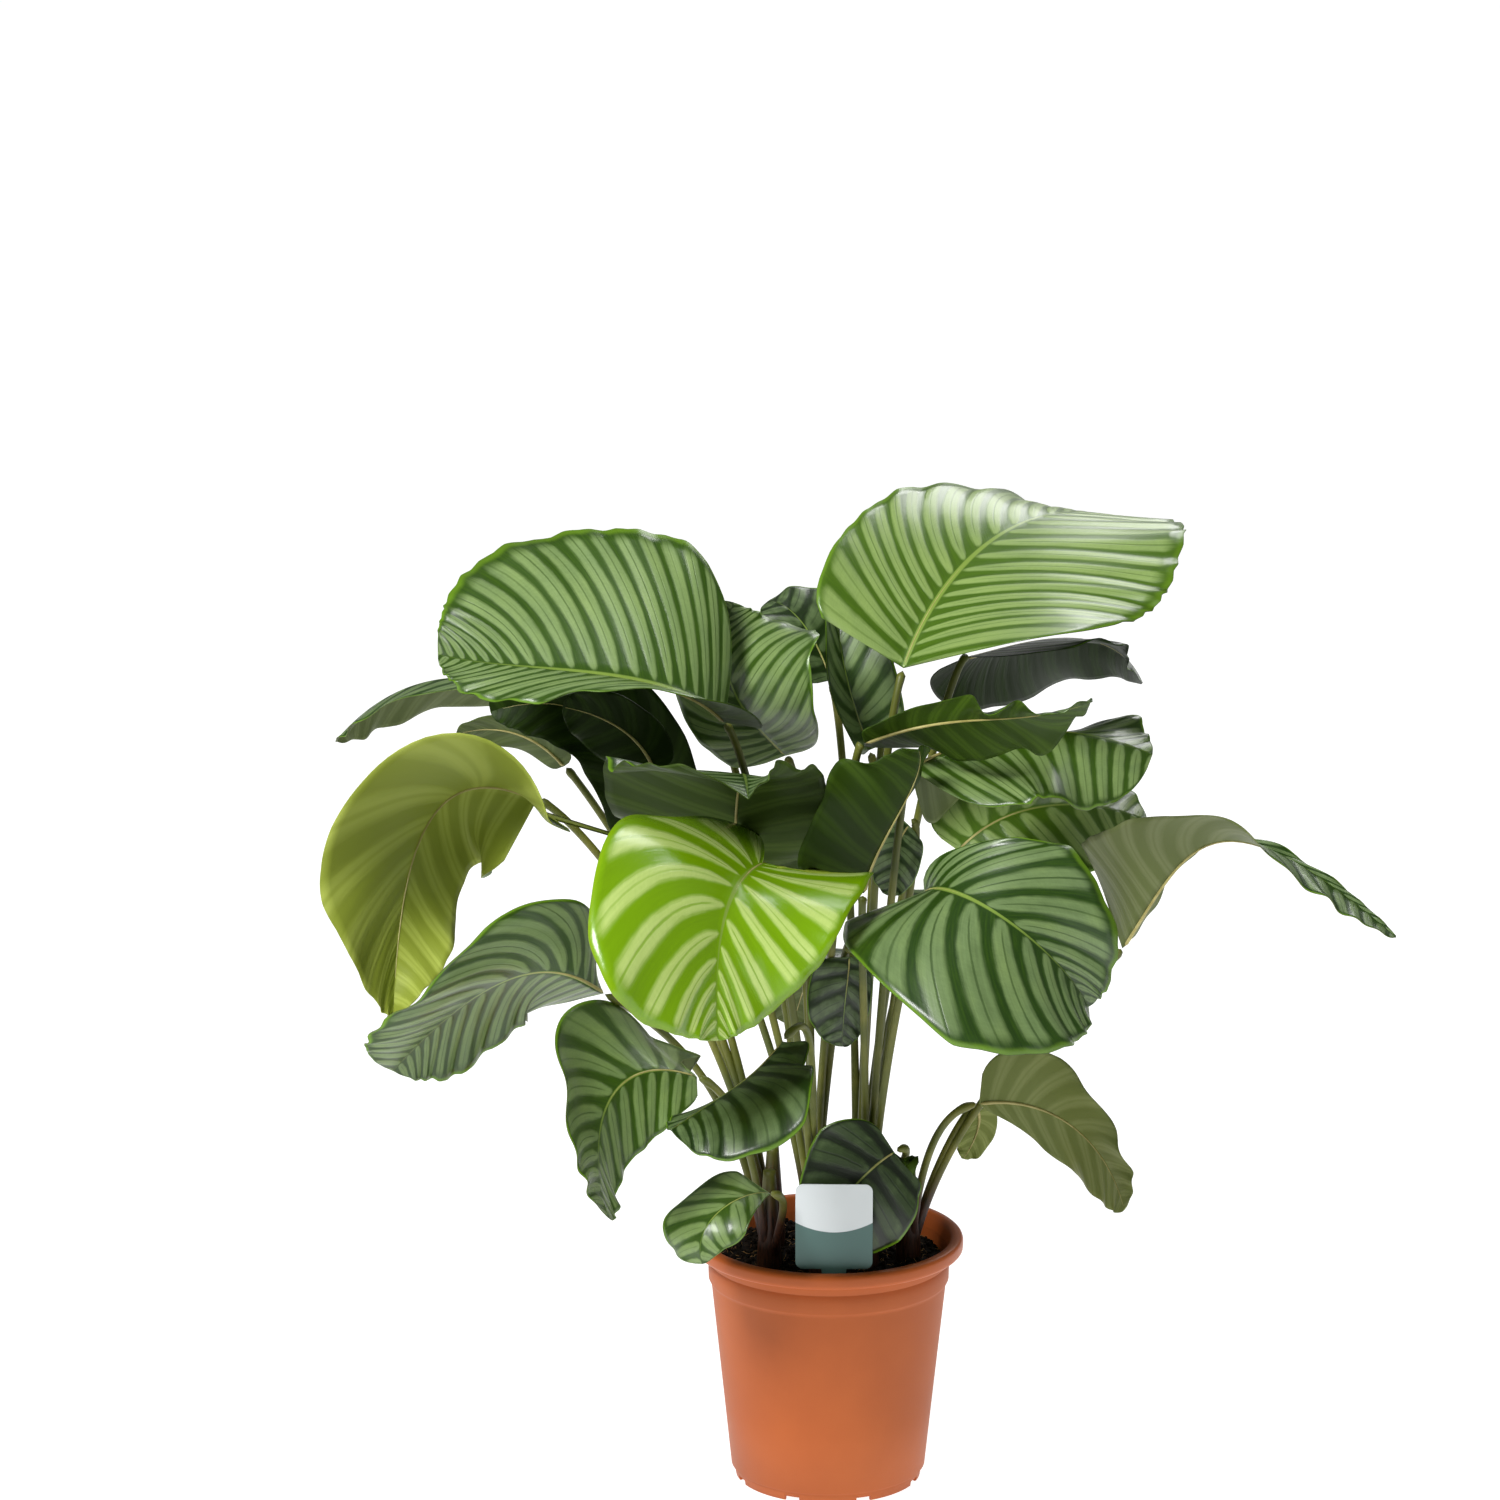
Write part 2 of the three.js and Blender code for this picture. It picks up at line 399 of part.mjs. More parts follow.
function bladePoint(leaf, rib, side, vein, out) {
  const { across, up } = flatPlace(leaf, side, rib.length, vein, out);
  const share = THREE.MathUtils.clamp(up / rib.length, 0, 1);
  const tangent = rib.curve.getTangentAt(share);
  const upright = ribNormal(rib, share);
  const ease = share * share * (3 - 2 * share);
  const turn = THREE.MathUtils.degToRad(THREE.MathUtils.lerp(leaf.twist[0], leaf.twist[1], ease));
  const level = new THREE.Vector3().crossVectors(upright, tangent).normalize();
  const normal = upright.clone().multiplyScalar(Math.cos(turn)).addScaledVector(level, Math.sin(turn));
  const leftward = level.clone().multiplyScalar(Math.cos(turn)).addScaledVector(upright, -Math.sin(turn));
  const outward = leftward.multiplyScalar(side === 0 ? 1 : -1);
  const width = leaf.half[side];
  const fold = along(leaf, 'fold', side, share);
  const curl = along(leaf, 'curl', side, share) || 1e-4;
  const angle = fold + curl * across / width;
  const ruffle = leaf.wave[0] * out * out * Math.sqrt(Math.sin(Math.PI * vein));
  const phase = leaf.wave[2] + (side === 0 ? 0 : WAVE_SHIFT);
  const rise = ruffle * Math.sin(2 * Math.PI * (leaf.wave[1] * vein + phase));
  return rib.curve.getPointAt(share)
    .addScaledVector(tangent, up - share * rib.length)
    .addScaledVector(outward, (Math.sin(angle) - Math.sin(fold)) / curl * width - rise * Math.sin(angle))
    .addScaledVector(normal, (Math.cos(fold) - Math.cos(angle)) / curl * width + rise * Math.cos(angle));
}

// Gives a sheet its thickness: the same triangles above and below it, and a wall along its free edges
function thickened(sheet, thickness) {
  const surface = welded(sheet);
  surface.computeVertexNormals();
  const places = surface.attributes.position;
  const normals = surface.attributes.normal;
  const corners = surface.index.array;
  const count = places.count;
  const points = [];
  for (const half of [thickness / 2, -thickness / 2]) {
    for (let i = 0; i < count; i++) {
      const point = new THREE.Vector3().fromBufferAttribute(places, i);
      points.push(...point.addScaledVector(new THREE.Vector3().fromBufferAttribute(normals, i), half));
    }
  }
  const faces = [];
  const edges = new Set();
  for (let i = 0; i < corners.length; i += 3) {
    const [a, b, c] = corners.slice(i, i + 3);
    faces.push(a, b, c, a + count, c + count, b + count);
    for (const [from, to] of [[a, b], [b, c], [c, a]]) {
      edges.add(`${from}>${to}`);
    }
  }
  for (const edge of edges) {
    const [from, to] = edge.split('>').map(Number);
    if (!edges.has(`${to}>${from}`)) {
      faces.push(to, from, from + count, to, from + count, to + count);
    }
  }
  const geometry = new THREE.BufferGeometry();
  geometry.setAttribute('position', new THREE.Float32BufferAttribute(points, 3));
  geometry.setIndex(faces);
  return geometry;
}

function bladeGeometry(leaf) {
  const rib = ribOf(leaf);
  const cellsAcross = 2 * (leaf.small ? SMALL_CELLS_ACROSS : BLADE_CELLS_ACROSS);
  const cellsAlong = leaf.small ? SMALL_CELLS_ALONG : BLADE_CELLS_ALONG;
  const sheet = new THREE.PlaneGeometry(2, 1, cellsAcross, cellsAlong);
  const places = sheet.attributes.position;
  for (let i = 0; i < places.count; i++) {
    const across = places.getX(i);
    const step = places.getY(i) + 0.5;
    const vein = THREE.MathUtils.clamp(step - 0.08 * Math.sin(2 * Math.PI * step), 0, 1);
    const point = bladePoint(leaf, rib, across < 0 ? 0 : 1, vein, Math.abs(across));
    places.setXYZ(i, point.x, point.y, point.z);
  }
  return thickened(sheet, BLADE_THICKNESS);
}

// A round stalk whose radius follows a list of [share of its length, radius], bent along a curve
function stalkGeometry(curve, radii) {
  const steps = THREE.MathUtils.clamp(Math.round(curve.getLength() / 42), 5, 12);
  const radiusAt = (share) => {
    const next = Math.max(radii.findIndex(([at]) => at >= share), 1);
    const [[fromAt, from], [toAt, to]] = [radii[next - 1], radii[next]];
    return THREE.MathUtils.mapLinear(share, fromAt, toAt, from, to);
  };
  const profile = [new THREE.Vector2(0, 0)];
  for (let i = 0; i <= steps; i++) {
    profile.push(new THREE.Vector2(radiusAt(i / steps), i));
  }
  profile.push(new THREE.Vector2(0, steps));
  const stalk = new THREE.LatheGeometry(profile, STALK_SIDES);
  const frames = curve.computeFrenetFrames(steps, false);
  const places = stalk.attributes.position;
  for (let i = 0; i < places.count; i++) {
    const step = Math.round(places.getY(i));
    const point = curve.getPointAt(step / steps)
      .addScaledVector(frames.normals[step], places.getX(i))
      .addScaledVector(frames.binormals[step], -places.getZ(i));
    places.setXYZ(i, point.x, point.y, point.z);
  }
  return stalk;
}

function stalkCurve(leaf, [footX, footY]) {
  const [base, next] = leaf.rib.slice(0, 2).map((point) => new THREE.Vector3(...point));
  const inLine = next.sub(base).normalize();
  const above = new THREE.Vector3(...leaf.face);
  base.addScaledVector(above.addScaledVector(inLine, -above.dot(inLine)).normalize(), -leaf.drop);
  const foot = new THREE.Vector3(footX, footY, SOIL_TOP - 10);
  const height = base.distanceTo(foot);
  const lean = base.clone().sub(foot);
  const rise = leaf.rise ?? [0.12 * lean.x, 0.12 * lean.y, 0.45 * height];
  return new THREE.CubicBezierCurve3(
    foot,
    foot.clone().add(new THREE.Vector3(...rise)),
    base.clone().addScaledVector(inLine, -leaf.pull),
    base.clone().addScaledVector(inLine, -STALK_SHORT_OF_BLADE),
  );
}

// A shoot is its sheath, which stands in its hole in the soil, and the stalks that rise out of it.
function shootGeometry([x, y], leaves) {
  const sheath = turned([
    [0, -SHEATH_DEPTH], [SHEATH_RADIUS * 0.8, -SHEATH_DEPTH], [SHEATH_RADIUS, 4 - SHEATH_DEPTH],
    [SHEATH_RADIUS, 6], [SHEATH_RADIUS * 0.75, SHEATH_RISE * 0.5], [SHEATH_RADIUS * 0.5, SHEATH_RISE],
    [0, SHEATH_RISE + 4],
  ], SHEATH_SIDES).translate(x, y, SOIL_TOP);
  let shoot = toSolid(sheath);
  for (const leaf of leaves) {
    const radii = [[0, STALK_RADIUS + 1], [0.3, STALK_RADIUS], [0.9, STALK_RADIUS], [1, STALK_TIP_RADIUS]];
    shoot = shoot.add(toSolid(stalkGeometry(stalkCurve(leaf, [x, y]), radii)));
  }
  return toGeometry(shoot);
}

const plant = new THREE.Group();

function addPiece(name, geometry, material, place = [0, 0, 0]) {
  const piece = new THREE.Mesh(geometry, material);
  piece.name = name;
  piece.position.set(...place);
  plant.add(piece);
}

addPiece('pot', potGeometry(), MATERIALS.pot);
addPiece('soil', soilGeometry(), MATERIALS.soil);
addPiece('tag', tagGeometry(), MATERIALS.tag, TAG_AT);
const leaves = LEAVES.map((leaf) => ({ ...LEAF_DEFAULTS, ...leaf }));
for (const [name, foot] of Object.entries(SHOOTS)) {
  const carried = leaves.filter((leaf) => leaf.shoot === name);
  addPiece(name, shootGeometry(foot, carried), MATERIALS.stalk);
}
for (const leaf of leaves) {
  addPiece(leaf.name, bladeGeometry(leaf), leaf.name === 'leaf_lime' ? MATERIALS.lime : MATERIALS.leaf);
}

export default plant;
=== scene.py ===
import math
import random

import bmesh
import bpy
from mathutils import Matrix, Vector, noise


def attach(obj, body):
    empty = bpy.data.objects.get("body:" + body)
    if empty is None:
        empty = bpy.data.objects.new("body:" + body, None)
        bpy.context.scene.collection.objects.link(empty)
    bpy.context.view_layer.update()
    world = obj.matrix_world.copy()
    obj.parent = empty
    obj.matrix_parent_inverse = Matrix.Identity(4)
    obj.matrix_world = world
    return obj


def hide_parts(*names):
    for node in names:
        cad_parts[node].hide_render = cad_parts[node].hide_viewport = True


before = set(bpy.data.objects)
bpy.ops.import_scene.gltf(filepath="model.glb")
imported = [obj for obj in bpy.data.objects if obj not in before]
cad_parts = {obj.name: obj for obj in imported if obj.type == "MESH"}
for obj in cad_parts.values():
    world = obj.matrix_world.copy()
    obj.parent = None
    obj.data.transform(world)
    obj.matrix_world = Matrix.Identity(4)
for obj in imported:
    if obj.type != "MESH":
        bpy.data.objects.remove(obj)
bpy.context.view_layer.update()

# Camera. The picture is taken from 4 m in front of the pot and 1.5 m up, about twice the plant's height,
# with a long lens that looks down on it. Camera and lights are in metres, the pieces' sizes in millimetres.
MM = 0.001
CAMERA_AT = Vector((0, -4.0, 1.53))
CAMERA_AIM = Vector((-0.0615, 0, 0.584))

camera = bpy.data.objects.new("camera", bpy.data.cameras.new("camera"))
camera.location = CAMERA_AT
camera.rotation_mode = "QUATERNION"
camera.rotation_quaternion = (CAMERA_AIM - CAMERA_AT).to_track_quat("-Z", "Y")
camera.data.sensor_fit = "HORIZONTAL"
camera.data.sensor_width = 36
camera.data.lens = 129.07
bpy.context.scene.collection.objects.link(camera)
bpy.context.scene.camera = camera

# Pot. A nursery pot moulded in one piece from terracotta-coloured polypropylene: foot ring, tapered wall,
# collar band, rolled lip, and holes and notches that let the water out. The finish is a fine matte.
LIP_RADIUS = 105
COLLAR_FOOT = 161
NECK_RADIUS = 92
BASE_RADIUS = 75
WALL = 1.6
POT_SIDES = 144
DRAIN_HOLES = 8


class Wire:
    """A socket of a material's node. Sums and products of wires add their Math nodes."""

    def __init__(self, tree, socket=None):
        self.tree = tree
        self.socket = socket

    def node(self, kind, output=0, stops=None, inputs=None, **settings):
        made = self.tree.nodes.new("ShaderNode" + kind)
        for setting, value in settings.items():
            setattr(made, setting, value)
        if stops:
            ramp = made.color_ramp.elements
            while len(ramp) < len(stops):
                ramp.new(1)
            for element, (place, value) in zip(ramp, stops):
                element.position = place
                element.color = value if isinstance(value, tuple) else (value, value, value, 1)
        for socket, value in (inputs or {}).items():
            if isinstance(value, Wire):
                self.tree.links.new(value.socket, made.inputs[socket])
            else:
                made.inputs[socket].default_value = value
        return Wire(self.tree, made.outputs[output])

    def math(self, operation, *values):
        return self.node("Math", inputs=dict(enumerate(values)), operation=operation)

    def __add__(self, other):
        return self.math("ADD", self, other)

    def __radd__(self, other):
        return self.math("ADD", other, self)

    def __sub__(self, other):
        return self.math("SUBTRACT", self, other)

    def __rsub__(self, other):
        return self.math("SUBTRACT", other, self)

    def __mul__(self, other):
        return self.math("MULTIPLY", self, other)

    def __rmul__(self, other):
        return self.math("MULTIPLY", other, self)

    def __abs__(self):
        return self.math("ABSOLUTE", self)

    def step(self, low, high):
        """0 up to low, 1 from high on, and a smooth way between."""
        return self.node("MapRange", interpolation_type="SMOOTHSTEP", inputs={0: self, 1: low, 2: high})

    def ramp(self, *stops):
        return self.node("ValToRGB", stops=stops, inputs={0: self})

    def mix(self, first, second):
        """The first colour where this wire is 0, and the second where it is 1."""
        return self.node("Mix", 2, data_type="RGBA", inputs={0: self, 6: first, 7: second})


def sRGB(red, green, blue):
    """A colour as it is read off a screen, 0 to 255, in the linear values that a shader takes."""
    linear = [((c / 255 + 0.055) / 1.055) ** 2.4 if c > 10 else c / 255 / 12.92 for c in (red, green, blue)]
    return (*linear, 1)


def material(name, finish):
    """finish takes a wire to start from, and returns the values and wires of the shader's sockets."""
    made = bpy.data.materials.new(name)
    made.use_nodes = True
    tree = made.node_tree
    shader = tree.nodes["Principled BSDF"]
    for socket, value in finish(Wire(tree)).items():
        if isinstance(value, Wire):
            tree.links.new(value.socket, shader.inputs[socket])
        else:
            shader.inputs[socket].default_value = value
    return made


def piece(name, mesh, materials, slot, *nodes):
    """The object of a finished mesh, which stands for the CAD nodes if any are given."""
    made = bpy.data.objects.new(name, bpy.data.meshes.new(name))
    mesh.to_mesh(made.data)
    mesh.free()
    for used in materials:
        made.data.materials.append(used)
    bpy.context.scene.collection.objects.link(made)
    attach(made, "root")
    if nodes:
        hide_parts(*nodes)
    return made


def closed(mesh, distance=0.00001):
    """Joins what coincides and turns all faces outwards."""
    bmesh.ops.remove_doubles(mesh, verts=mesh.verts, dist=distance)
    bmesh.ops.recalc_face_normals(mesh, faces=mesh.faces)
    for face in mesh.faces:
        face.smooth = True


def turned(profile, sides):
    """A closed profile of (radius, height) pairs spun round +Z."""
    mesh = bmesh.new()
    verts = [mesh.verts.new((radius * MM, 0, height * MM)) for radius, height in profile]
    edges = [mesh.edges.new(pair) for pair in zip(verts, verts[1:])]
    bmesh.ops.spin(mesh, geom=verts + edges, axis=(0, 0, 1), angle=2 * math.pi, steps=sides, use_merge=True)
    closed(mesh)
    return mesh


def pot_plastic(start):
    place = start.node("TexCoord", "Object")
    grain = start.node("TexNoise", inputs={"Vector": place, "Scale": 900, "Detail": 3})
    haze = start.node("TexNoise", inputs={"Vector": place, "Scale": 9, "Detail": 4})
    height = place.node("SeparateXYZ", "Z", inputs={0: place})
    lip = height.step(0.1845, 0.1860)
    wall = haze.ramp((0.3, sRGB(176, 88, 38)), (0.7, sRGB(192, 100, 46)))
    return {
        "Base Color": lip.mix(wall, sRGB(190, 96, 44)),
        "Roughness": 0.48 - 0.14 * lip + 0.10 * haze,
        "Specular IOR Level": 0.3,
        "Normal": start.node("Bump", inputs={"Strength": 0.35, "Distance": 0.0002, "Height": grain}),
    }


def wall_radius(height):
    return BASE_RADIUS + (NECK_RADIUS - BASE_RADIUS) * height / COLLAR_FOOT


outside = [
    (0, 0), (57, 0), (58.5, 0.5), (60, 4.5), (61, 5), (68, 5), (69.2, 4.2), (70, 0.6), (70.6, 0), (71.8, 0),
    (72.6, 0.4), (73.6, 7), (74.2, 8.2), (wall_radius(10.5), 9.5), (wall_radius(60), 60),
    (wall_radius(110), 110), (wall_radius(158), 158), (wall_radius(160.2), 160.2), (93.3, 161.2),
    (93.9, 162.4),
    (94.1, 170), (94.1, 176.6), (93.8, 177), (94.2, 177.4), (94.5, 183.5), (95.6, 185.1), (101.5, 185.1),
    (103.8, 185.6), (104.8, 186.8), (LIP_RADIUS, 188.6), (LIP_RADIUS, 193), (104.4, 195), (103, 196.3),
    (101, 196.9),
]
inside = [
    (99, 197), (97, 196.5), (95.7, 195.2), (94.6, 192), (93, 186), (92.5, 184), (92, 163),
    (NECK_RADIUS - WALL, 160), (wall_radius(110) - WALL, 110), (wall_radius(60) - WALL, 60),
    (wall_radius(14) - WALL, 14), (wall_radius(10) - WALL - 1.5, 8.4), (66, 7.2), (59, 7.2), (57.6, 6.6),
    (56.6, 2.8), (55.6, 2.2), (0, 2.2),
]
pot = piece("nursery_pot", turned(outside + inside, POT_SIDES), [material("pot_plastic", pot_plastic)],
            "pot", "pot")
cutters = bmesh.new()
for i in range(DRAIN_HOLES):
    turn = Matrix.Rotation((i + 0.5) * 2 * math.pi / DRAIN_HOLES, 4, "Z")
    bmesh.ops.create_cone(cutters, cap_ends=True, segments=24, radius1=0.004, radius2=0.004, depth=0.02,
                          matrix=turn @ Matrix.Translation((0.048, 0, 0)))
    notch = Matrix.Translation((0.072, 0, 0)) @ Matrix.Diagonal((0.014, 0.012, 0.008, 1))
    bmesh.ops.create_cube(cutters, size=1, matrix=turn @ notch)
cutter = bpy.data.objects.new("drain_cutter", bpy.data.meshes.new("drain_cutter"))
cutters.to_mesh(cutter.data)
cutters.free()
bpy.context.scene.collection.objects.link(cutter)
cut = pot.modifiers.new("drains", "BOOLEAN")
cut.object = cutter
cut.solver = "EXACT"
pierced = bpy.data.meshes.new_from_object(pot.evaluated_get(bpy.context.evaluated_depsgraph_get()))
pot.modifiers.clear()
pot.data = pierced
bpy.data.objects.remove(cutter)

# Soil. Dark peat with straw-coloured coconut fibres, filled to just under the lip and pressed uneven,
# with crumbs on top. It is one crust over the CAD solid's place, with the fibres and crumbs laid in it.
SOIL_TOP = 180
SOIL_EDGE = 90.5
CRUMBS = 900
FIBRES = 260
draw = random.Random(7)


def soil_height(x, y):
    place = Vector((x, y, 0))
    edge = min(1, max(0, (SOIL_EDGE - place.length) / 12))
    heap = 2.5 * math.sin(x / 7 + 1) * math.cos(y / 6) + 2 * (1 - place.length / SOIL_EDGE)
    crumb = 3.5 * noise.fractal(place / 11, 0.7, 2.2, 5)
    return SOIL_TOP + edge * (heap + crumb) - 1


def peat(start):
    place = start.node("TexCoord", "Object")
    clods = start.node("TexNoise", inputs={"Vector": place, "Scale": 220, "Detail": 8, "Roughness": 0.7})
    specks = start.node("TexVoronoi", inputs={"Vector": place, "Scale": 420})
    lumps = clods + 0.4 * specks
    return {
        "Base Color": clods.ramp((0.35, sRGB(10, 8, 6)), (0.55, sRGB(30, 22, 17)), (0.75, sRGB(66, 47, 33))),
        "Roughness": 0.95,
        "Specular IOR Level": 0.2,
        "Normal": start.node("Bump", inputs={"Strength": 0.8, "Distance": 0.001, "Height": lumps}),
    }


def coir(start):
    tone = start.node("TexNoise", inputs={"Vector": start.node("TexCoord", "Object"), "Scale": 60})
    return {
        "Base Color": tone.ramp((0.35, sRGB(96, 64, 38)), (0.6, sRGB(176, 134, 82))),
        "Roughness": 0.8,
    }


rings = [(0, 4), (55, 4), (57, 8), (73, 9), (88.5, 160), (88.5, 178)]
rings += [(87 - 1.5 * i, SOIL_TOP) for i in range(59)]
soil = turned(rings, 180)
for vert in soil.verts:
    if vert.co.z > 0.1785:
        vert.co.z = MM * soil_height(vert.co.x / MM, vert.co.y / MM)
for i in range(CRUMBS):
    reach = (SOIL_EDGE - 4) * math.sqrt(draw.random())
    angle = draw.uniform(0, 2 * math.pi)
    x, y = reach * math.cos(angle), reach * math.sin(angle)
    size = draw.uniform(0.7, 2.6) * MM
    seat = Matrix.Translation((x * MM, y * MM, soil_height(x, y) * MM + 0.3 * size))
    grown = bmesh.ops.create_icosphere(soil, subdivisions=1, radius=size, matrix=seat)
    for vert in grown["verts"]:
        vert.co += Vector((draw.uniform(-1, 1), draw.uniform(-1, 1), draw.uniform(-1, 1))) * size * 0.35
for face in soil.faces:
    face.smooth = len(face.verts) == 4
piece("peat", soil, [material("peat", peat)], "soil", "soil")


def tube(mesh, points, radii, sides):
    """A round tube along points, closed where its radius falls to nothing."""
    steps = len(points) - 1
    grid = bmesh.ops.create_grid(mesh, x_segments=sides, y_segments=steps, size=1)["verts"]
    tangents = [(points[min(i + 1, steps)] - points[max(i - 1, 0)]).normalized() for i in range(steps + 1)]
    across = [tangents[0].orthogonal().normalized()]
    for tangent in tangents[1:]:
        across.append((across[-1] - tangent * across[-1].dot(tangent)).normalized())
    for vert in grid:
        i = round((vert.co.y + 1) / 2 * steps)
        angle = math.pi * vert.co.x
        side = across[i] * math.cos(angle) + tangents[i].cross(across[i]) * math.sin(angle)
        vert.co = points[i] + side * radii[i]
    return grid


fibres = bmesh.new()
for i in range(FIBRES):
    reach = (SOIL_EDGE - 6) * math.sqrt(draw.random())
    angle = draw.uniform(0, 2 * math.pi)
    x, y = reach * math.cos(angle), reach * math.sin(angle)
    heading = draw.uniform(0, 2 * math.pi)
    length = draw.uniform(5, 22)
    points = []
    for k in range(5):
        heading += draw.uniform(-0.5, 0.5)
        x += length / 4 * math.cos(heading)
        y += length / 4 * math.sin(heading)
        reach = math.hypot(x, y)
        shrink = min(1, (SOIL_EDGE - 3) / reach) if reach else 1
        x, y = x * shrink, y * shrink
        points.append(Vector((x, y, soil_height(x, y) + draw.uniform(0.2, 1.6))) * MM)
    width = draw.uniform(0.15, 0.45) * MM
    tube(fibres, points, [0, width, width, width, 0], 3)
closed(fibres, 0.000001)
piece("coir_fibres", fibres, [material("coir", coir)], "soil")

# Plant tag. A stiff plastic card on a tapered stake pushed into the soil, white above a soft arc and
# grey-green below it, printed nowhere.
TAG_WIDTH = 59
TAG_HEIGHT = 68
TAG_THICKNESS = 0.8
TAG_CORNER = 6
TAG_AT = Vector((4, -88, 197))
STAKE_WIDTH = 20
STAKE_LENGTH = 48


def tag_card(start):
    place = start.node("TexCoord", "Object")
    x = start.node("SeparateXYZ", "X", inputs={0: place}) - TAG_AT.x * MM
    z = start.node("SeparateXYZ", "Z", inputs={0: place})
    arc = 0.2265 + 9 * x * x
    fleck = start.node("TexNoise", inputs={"Vector": place, "Scale": 1500, "Detail": 2})
    return {
        "Base Color": (z - arc).step(-0.0002, 0.0002).mix(sRGB(78, 112, 106), sRGB(226, 232, 234)),
        "Roughness": 0.34 + 0.08 * fleck,
        "Normal": start.node("Bump", inputs={"Strength": 0.1, "Distance": 0.0001, "Height": fleck}),
    }


tag = bmesh.new()
bmesh.ops.create_cube(tag, size=1, matrix=Matrix.Diagonal((TAG_WIDTH, TAG_THICKNESS, TAG_HEIGHT, 1)))
corners = [edge for edge in tag.edges if abs(edge.verts[0].co.y - edge.verts[1].co.y) > 0.5]
bmesh.ops.bevel(tag, geom=corners, offset=TAG_CORNER, affect="EDGES", segments=10, profile=0.5, material=-1)
bmesh.ops.translate(tag, verts=tag.verts, vec=(0, 0, TAG_HEIGHT / 2))
stake = bmesh.ops.create_cube(tag, size=1)["verts"]
for vert in stake:
    width, foot = (STAKE_WIDTH, 2) if vert.co.z > 0 else (STAKE_WIDTH / 3, -STAKE_LENGTH)
    vert.co = Vector((vert.co.x * width, vert.co.y * TAG_THICKNESS * 0.98, foot))
for vert in tag.verts:
    vert.co = (TAG_AT + vert.co + Vector((0, TAG_THICKNESS / 2, 0))) * MM
bmesh.ops.recalc_face_normals(tag, faces=tag.faces)
card = piece("plant_tag", tag, [material("tag_card", tag_card)], "tag", "tag")
rounded = card.modifiers.new("edges", "BEVEL")
rounded.width = 0.00025
rounded.segments = 2
rounded.limit_method = "ANGLE"

# Shoots. Each is a bundle of leaf stalks that grow out of one brown papery sheath in the soil. A stalk is
# round, olive to yellow-green, and a little swollen where it meets its blade.
STALK_RADIUS = 3
STALK_TIP_RADIUS = 1.8
SHEATH_RADIUS = 10
SHEATH_DEPTH = 28
STALK_STEPS = 48
SHOOTS = {
    "shoot_back_left": (-44, 27),
    "shoot_front_left": (-46, -35),
    "shoot_front": (-8, -46),
    "shoot_centre": (-12, 17),
    "shoot_back_right": (23, 26),
    "shoot_front_right": (29, -25),
    "shoot_right": (62, -9),
}
